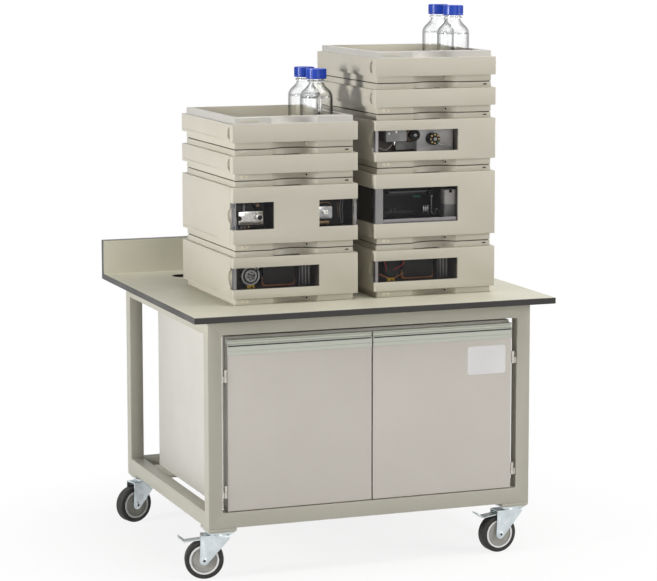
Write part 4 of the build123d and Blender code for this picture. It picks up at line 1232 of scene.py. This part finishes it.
# Detector fittings. A grey lamp housing at the left with a black knob beside it, a folded panel
# below them, and a plain sheet panel at the right that carries the flow cell with its brass screws.
panel_tones = ((0.940, 0.935, 0.950), (0.860, 0.855, 0.870))
brass_tones = ((0.560, 0.400, 0.180), (0.400, 0.280, 0.120))
casting_tones = ((0.420, 0.425, 0.430), (0.300, 0.305, 0.310))
dull_tones = ((0.110, 0.080, 0.055), (0.060, 0.045, 0.032))
green_tones = ((0.020, 0.260, 0.120), (0.012, 0.180, 0.080))
lamp_block_low = (0.0480, 0.0640)
lamp_block_high = (0.1060, 0.0980)
knob_centre = (0.1285, 0.0800)
knob_radius = 0.0145
panel_low = (0.1370, 0.0365)
panel_high = (0.2400, 0.0995)
cell_centre = (0.1780, 0.0695)
cell_radius = 0.0160
cell_screws = 8
sheet_panel = finish("Sheet panel", panel_tones, (0.34, 0.46), cloud=18.0, depth=0.08)
brass = finish("Brass", brass_tones, (0.22, 0.35), 1.0, cloud=80.0, depth=0.04)
green_plastic = finish("Green plastic", green_tones, (0.3, 0.4), cloud=60.0, depth=0.05)
grey_casting = finish("Grey casting", casting_tones, (0.4, 0.55), cloud=30.0, depth=0.3)
dull_bronze = finish("Dull bronze", dull_tones, (0.35, 0.5), 0.7, cloud=120.0, depth=0.2)

lamp_block = plate(
    "detector_lamp_housing",
    amid("detector", lamp_block_low, lamp_block_high, 0.0680),
    (lamp_block_high[0] - lamp_block_low[0], 0.050, lamp_block_high[1] - lamp_block_low[1]),
    0.0030, 0.0010, grey_casting,
)
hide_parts("detector_fittings")
for number, (across, up) in enumerate(((0.0560, 0.0860), (0.0760, 0.0900))):
    turned(
        f"detector_lamp_screw_{number + 1}", inside("detector", across, 0.0420, up), 0.0034, 0.003,
        out, ((0.0010, 0.0), (0.0004, -0.0012)), 0.0002, steel, sides=20,
    )
turned(
    "detector_knob", inside("detector", knob_centre[0], 0.060, knob_centre[1]), knob_radius, 0.040,
    out, ((0.0016, 0.0016), (0.0030, -0.0020), (0.0030, 0.0030), (0.0015, -0.0015)), 0.0005,
    black_moulding, sides=40,
)
collar(
    "detector_knob_ring", inside("detector", knob_centre[0] - 0.0075, 0.052, knob_centre[1]),
    knob_radius + 0.0015, knob_radius - 0.0035, 0.008, dull_bronze,
)
turned(
    "detector_knob_cap", inside("detector", knob_centre[0], 0.0385, knob_centre[1]), 0.0042, 0.002,
    out, ((0.0010, 0.0006),), 0.0002, grey_sheet, sides=24,
)
plate(
    "detector_panel",
    amid("detector", panel_low, panel_high, 0.0500),
    (panel_high[0] - panel_low[0], 0.0015, panel_high[1] - panel_low[1]), 0.0020, 0.0003,
    sheet_panel,
)
plate(
    "detector_panel_leg", inside("detector", panel_low[0] + 0.0010, 0.0650, 0.0680),
    (0.0015, 0.030, 0.0560), 0.0004, 0.0003, sheet_panel, through="X",
)
plate(
    "detector_lower_panel", inside("detector", 0.1120, 0.0700, 0.0500), (0.0520, 0.0015, 0.0200),
    0.0010, 0.0003, grey_casting,
)
plate(
    "detector_lower_panel_leg", inside("detector", 0.1120, 0.0825, 0.0500),
    (0.0015, 0.0240, 0.0180),
    0.0004, 0.0003, grey_casting, through="X",
)
cell_place = inside("detector", cell_centre[0], 0.0380, cell_centre[1])
turned(
    "flow_cell", cell_place, cell_radius, 0.0230, out,
    ((0.0015, 0.0015), (0.0075, 0.0), (0.0010, 0.0025), (0.0020, 0.0)), 0.0005, black_moulding,
)
turned(
    "flow_cell_hub", cell_place + Vector((0, -0.0160, 0)), 0.0045, 0.003, out,
    ((0.0012, 0.0010), (0.0010, 0.0)), 0.0003, grey_sheet, sides=32,
)
for number in range(cell_screws):
    angle = math.tau * number / cell_screws
    spot = cell_place + Vector((0.0112 * math.cos(angle), -0.0138, 0.0112 * math.sin(angle)))
    turned(
        f"flow_cell_screw_{number + 1}", spot, 0.0019, 0.0024, out, ((0.0006, 0.0008),), 0.0002,
        green_plastic if number == cell_screws - 1 else brass, sides=12,
    )
for number, drop in enumerate((0.0, 0.0035)):
    wire(
        f"flow_cell_line_{number + 1}", cell_place,
        (
            (0.0090, -0.0150, -0.0090 - drop), (0.0220, -0.0150, -0.0140 - drop),
            (0.0360, -0.0130, -0.0190 - drop), (0.0520, -0.0050, -0.0240 - drop),
        ),
        0.0009, clear_tube,
    )
wire(
    "detector_lamp_lead", inside("detector"),
    (
        (0.0160, 0.045, 0.0440), (0.0280, 0.040, 0.0520), (0.0400, 0.040, 0.0420),
        (0.0600, 0.045, 0.0480), (0.0720, 0.050, 0.0640),
    ),
    0.0012, clear_tube,
)
turned(
    "detector_connector", inside("detector", 0.0720, 0.045, 0.0590), 0.0024, 0.010, (0, 0, 1),
    ((0.0006, 0.0020), (0.0005, 0.0020)), 0.0003, polished, sides=12,
)

# Sampler frame and fittings. A grey frame lines the window's bottom. Inside are the arm rail
# with its carriage and needle, the vial rack below, and the needle's drive box at the right.
dim_tones = ((0.070, 0.068, 0.068), (0.045, 0.044, 0.044))
drive_tones = ((0.860, 0.850, 0.840), (0.780, 0.770, 0.760))
sill_low = 0.0540
sill_high = 0.0655
sill_left = 0.0250
sill_right = 0.2320
rail_place = (0.1480, 0.1200, 0.1200)
needle_place = (0.2010, 0.1000)
needle_low = 0.0690
needle_high = 0.1130
drive_low = (0.2103, 0.0610)
drive_high = (0.2420, 0.1340)
drive_split = 0.0948
dim_casting = finish("Dim casting", dim_tones, (0.3, 0.45), 0.3, cloud=25.0, depth=0.2)
drive_cover = finish("Drive cover", drive_tones, (0.32, 0.42), cloud=25.0, depth=0.1)
plate(
    "sampler_sill",
    inside("sampler", (sill_left + sill_right) / 2, pane_wall + 0.0020, (sill_low + sill_high) / 2),
    (sill_right - sill_left, 0.0020, sill_high - sill_low), 0.0006, 0.0003, frosted,
    "sampler_cover",
)
# The lip takes the darker copy of the frosted grey: painted shade.
plate(
    "sampler_sill_lip",
    inside("sampler", (sill_left + sill_right) / 2, pane_wall + 0.0008, sill_low + 0.0020),
    (sill_right - sill_left, 0.0014, 0.0030), 0.0004, 0.0003, frosted_shade, "sampler_cover",
)
rail = plate(
    "sampler_rail", inside("sampler", *rail_place), (0.1290, 0.0120, 0.0100), 0.0015, 0.0006,
    dim_casting,
)
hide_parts("sampler_fittings")
plate(
    "sampler_rail_rod",
    inside("sampler", rail_place[0], rail_place[1] - 0.010, rail_place[2] + 0.004),
    (0.1290, 0.0030, 0.0030), 0.0006, 0.0003, grey_casting,
)
plate(
    "sampler_carriage", inside("sampler", needle_place[0], 0.1080, 0.1200),
    (0.0200, 0.0260, 0.0130),
    0.0030, 0.0008, black_moulding,
)
turned(
    "sampler_needle",
    inside("sampler", needle_place[0], needle_place[1], (needle_low + needle_high) / 2),
    0.0009, needle_high - needle_low, (0, 0, -1), ((0.0004, 0.003),), 0, polished, sides=12,
)
turned(
    "sampler_needle_hub", inside("sampler", needle_place[0], needle_place[1], needle_high),
    0.0036, 0.010, (0, 0, -1), ((0.0010, 0.003), (0.0012, 0.002)), 0.0003, steel, sides=16,
)
for number in range(3):
    turned(
        f"sampler_seat_{number + 1}", inside("sampler", 0.1760 + 0.0062 * number, 0.0950, 0.0740),
        0.0026, 0.019, (0, 0, 1), ((0.0006, 0.001), (0.0006, 0.003)), 0.0003, steel, sides=20,
    )
wire(
    "sampler_seat_tube", inside("sampler"),
    (
        (0.1960, 0.0930, 0.0700), (0.2020, 0.0900, 0.0620), (0.2090, 0.0880, 0.0660),
        (0.2080, 0.0880, 0.0800), (0.2140, 0.0860, 0.0760), (0.2210, 0.0860, 0.0640),
    ),
    0.0010, steel,
)
plate(
    "sampler_board_part", inside("sampler", 0.1625, 0.1100, 0.1105), (0.0210, 0.0040, 0.0050),
    0.0006, 0.0003, green_plastic,
)
plate(
    "sampler_rack", inside("sampler", 0.1065, 0.1300, 0.0655), (0.0850, 0.0700, 0.0110),
    0.0030, 0.0010, black_moulding,
)
plate(
    "sampler_rack_rail", inside("sampler", 0.1065, 0.0935, 0.0730), (0.0850, 0.0016, 0.0050),
    0.0006, 0.0003, dim_casting,
)
for number in range(4):
    turned(
        f"sampler_vial_{number + 1}", inside("sampler", 0.0850 + 0.0130 * number, 0.1040, 0.0760),
        0.0052, 0.0120, (0, 0, 1), ((0.0008, 0.0), (0.0012, 0.001)), 0.0003, dark_plastic, sides=24,
    )
plate(
    "sampler_drive_cover",
    amid("sampler", (drive_low[0], drive_split), drive_high, 0.0460),
    (drive_high[0] - drive_low[0], 0.0300, drive_high[1] - drive_split), 0.0020, 0.0010,
    drive_cover,
)
plate(
    "sampler_drive_base",
    amid("sampler", drive_low, (drive_high[0], drive_split), 0.0480),
    (drive_high[0] - drive_low[0], 0.0300, drive_split - drive_low[1] - 0.0004), 0.0020, 0.0010,
    grey_casting,
)
turned(
    "sampler_drive_notch", inside("sampler", 0.2260, 0.0307, 0.1300), 0.0045, 0.0008, out,
    ((0.0010, -0.0003),), 0, black_moulding, sides=24,
)

# Power buttons. A cream button, moulded with the housing, stands in each lower scoop. A black
# round disc sunk into its face is painted shade for the hole there.
button_share = 0.62
button_radius = 0.0050


def button_face(name, place):
    """How far behind the cover's front the button's face lies."""
    near = [
        (frame["nodes"][name + "_housing"].matrix_world @ point.co) - place
        for point in frame["nodes"][name + "_housing"].data.vertices
    ]
    return min(gap.y for gap in near if math.hypot(gap.x, gap.z) < 1.05 * button_radius)


for name in module_names:
    corner, height = stack_corner(name)
    place = corner + Vector((band_inset + button_share * band_width, 0, lower_band / 2))
    # The black disc is painted shade for the button's hole.
    turned(
        name + "_button_hole_shade", place + Vector((0, button_face(name, place), 0)),
        button_radius * 0.52,
        0.0012, out, ((0.0006, -0.0004),), 0.0001, black_moulding, sides=24,
    )

# Latch wells. Above each cover, a slot in the floor of the scoop lets fingers in to free the
# cover; a black slab in it is painted shade for the slot, and a thin black sheet on the cover's
# edge carries on its curve, painted shade too. Both are cut from a disc of the scoop's own radius
# and stop at the latch tab.
scoop_radius = 0.0854
scoop_middle = 0.1718
scoop_inward = 0.0378 - scoop_radius
well_margin = 0.0013
tab_start = 0.0160
well_span = (0.0252, 0.0370)
well_rise = -0.0006
well_depth = 0.0030
edge_shade_span = (0.0104, 0.0198)
edge_shade_rise = 0.0003
edge_shade_thickness = 0.0004


def scoop_pad(name, module, span, rise, thickness, body):
    """The part of a disc under the scoop that lies between two depths, left of the tab."""
    corner, height = stack_corner(module)
    middle = corner + Vector((scoop_middle, scoop_inward, height - upper_band + rise))
    bpy.ops.mesh.primitive_cylinder_add(
        vertices=256, radius=scoop_radius - well_margin, depth=thickness,
        location=middle - Vector((0, 0, thickness / 2)),
    )
    pad = bpy.context.object
    bpy.ops.object.mode_set(mode="EDIT")
    for spot, direction in (
        ((0, corner.y + span[0], 0), (0, -1, 0)),
        ((0, corner.y + span[1], 0), (0, 1, 0)),
        ((middle.x + tab_start, 0, 0), (1, 0, 0)),
    ):
        bpy.ops.mesh.select_all(action="SELECT")
        bpy.ops.mesh.bisect(plane_co=spot, plane_no=direction, use_fill=True, clear_outer=True)
    bpy.ops.object.mode_set(mode="OBJECT")
    return seated(pad, name, black_moulding, body)


# Both pads are black, painted shade for the gap between the cover and the scoop.
for name in module_names:
    scoop_pad(name + "_latch_well_shade", name, well_span, well_rise, well_depth, "bench")
    scoop_pad(name + "_latch_edge_shade", name, edge_shade_span, edge_shade_rise, edge_shade_thickness, name + "_cover")

# Door label. A blank white card, laminated and stuck to the upper right part of the door.
label_tones = ((0.800, 0.800, 0.800), (0.770, 0.770, 0.775))
label_centre = (0.3302, 0.5244)
label_size = (0.1080, 0.0006, 0.0750)
label_corner = 0.0080
label_card = finish("Label card", label_tones, (0.28, 0.36), cloud=15.0, depth=0.03)
door_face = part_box("right_door")[0][1]
plate(
    "door_label", Vector((label_centre[0], door_face - label_size[1] / 2, label_centre[1])),
    label_size, label_corner, film_edge, label_card, "right_door",
)

# Solvent bottles. Four clear glass bottles, each with a pouring ring under its screw cap. The
# solvent in them shows as its clear surface, just below the shoulder. The caps are blue, with
# a ribbed grip above a plain lower rim.
cap_tones = ((0.012, 0.085, 0.620), (0.010, 0.065, 0.520))
cap_rim_light = (0.008, 0.045, 0.400)
glass_tint = (0.985, 0.992, 0.990)
liquid_tint = (0.990, 0.993, 0.995)
# Painted shade for glass and solvent where they are seen edge on.
painted_edge_shade = (0.05, 0.05, 0.05, 1)
bottle_places = (
    ("solvent_tray_left", 0.270, 0.211),
    ("solvent_tray_left", 0.271, 0.121),
    ("solvent_tray_right", 0.268, 0.219),
    ("solvent_tray_right", 0.273, 0.129),
)
surface_radius = 0.0400
surface_low = 0.1040
surface_high = 0.1064
neck_ring_radius = 0.0235
neck_ring_height = 0.1475
cap_radius = 0.0268
cap_height = 0.0260
cap_rim_height = 0.0050
cap_ribs = 36
cap_dome = 0.0010
rib_depth = 0.0013


def clear_material(name, tint, edge, index):
    """Clear and smooth; painted shade darkens its colour where it is seen edge on."""
    made = finish(name, (tint, tint), (0.0, 0.02), cloud=8.0, depth=0.0)
    tree = made.node_tree
    shader = tree.nodes["Principled BSDF"]
    shader.inputs["Transmission Weight"].default_value = 1.0
    shader.inputs["IOR"].default_value = index
    turn = node(tree, "LayerWeight", {"Blend": 0.5})
    edge_shade_ramp = node(tree, "MapRange", {"From Min": 0.34, "From Max": 0.72})
    tree.links.new(turn.outputs["Facing"], edge_shade_ramp.inputs["Value"])
    blend = node(tree, "Mix", data_type="RGBA")
    blend.inputs["B"].default_value = edge
    tree.links.new(tree.nodes["drift"].outputs["Result"], blend.inputs["A"])
    tree.links.new(edge_shade_ramp.outputs["Result"], blend.inputs["Factor"])
    tree.links.new(blend.outputs["Result"], shader.inputs["Base Color"])
    return made


def ribbed_cap(name, low):
    """A screw cap made from a cylinder: every second side face is pushed in to leave ribs."""
    bpy.ops.mesh.primitive_cylinder_add(
        vertices=2 * cap_ribs, radius=cap_radius, depth=cap_height - cap_rim_height - cap_dome
    )
    piece = bpy.context.object
    edit("FACE")
    select_faces(piece, lambda face: face.normal.z > 0.99)
    bpy.ops.mesh.inset(thickness=0.0012, depth=0)
    bpy.ops.mesh.extrude_region_move(TRANSFORM_OT_translate={"value": (0, 0, cap_dome)})
    bpy.ops.mesh.inset(thickness=0.0022, depth=0)
    bpy.ops.mesh.extrude_region_move(TRANSFORM_OT_translate={"value": (0, 0, -0.0008)})
    sides = 2 * cap_ribs
    select_faces(
        piece,
        lambda face: abs(face.normal.z) < 0.01
        and face.calc_area() > 0.00002
        and round(math.atan2(face.normal.y, face.normal.x) / math.tau * sides - 0.5) % 2 == 0,
    )
    bpy.ops.mesh.extrude_faces_move(TRANSFORM_OT_shrink_fatten={"value": -rib_depth})
    close_edit()
    bpy.ops.object.shade_smooth_by_angle(angle=math.radians(28))
    piece.location = low + Vector((0, 0, (cap_height + cap_rim_height - cap_dome) / 2))
    return seated(piece, name, cap_blue)


bottle_glass = clear_material("Bottle glass", glass_tint, painted_edge_shade, 1.47)
clear_liquid = clear_material("Clear solvent", liquid_tint, painted_edge_shade, 1.34)
cap_blue = finish("Cap blue", cap_tones, (0.28, 0.4), cloud=40.0, depth=0.1)
cap_rim_blue = finish(
    "Cap rim blue", (cap_rim_light, cap_rim_light), (0.3, 0.4), cloud=40.0, depth=0.1
)
paint("solvent_bottles", bottle_glass)
bottle_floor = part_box("solvent_bottles")[0][2] - stack_corner("solvent_tray_left")[0].z
cap_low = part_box("bottle_caps")[1][2] - cap_height - stack_corner("solvent_tray_right")[0].z
for number, (tray_name, across, inward) in enumerate(bottle_places):
    label = f"bottle_{number + 1}"
    stand = inside(tray_name, across, inward, bottle_floor)
    turned(
        label + "_liquid", stand + Vector((0, 0, (surface_low + surface_high) / 2)), surface_radius,
        surface_high - surface_low, (0, 0, 1), ((0.0012, 0.0), (0.0008, -0.0008)), 0.0002,
        clear_liquid, sides=64,
    )
    turned(
        label + "_pouring_ring", stand + Vector((0, 0, neck_ring_height)), neck_ring_radius, 0.0030,
        (0, 0, 1), ((0.0008, 0.0006),), 0.0006, bottle_glass, sides=48,
    )
    cap_place = inside(tray_name, across, inward, cap_low)
    cap = ribbed_cap(label + "_cap", cap_place)
    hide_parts("bottle_caps")
    turned(
        label + "_cap_rim", cap_place + Vector((0, 0, cap_rim_height / 2)), cap_radius,
        cap_rim_height,
        (0, 0, 1), ((0.0004, 0.0),), 0.0004, cap_rim_blue, sides=72,
    )

# Extents. The size of everything shown, backdrop left out, after the looks were added.
low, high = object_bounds()
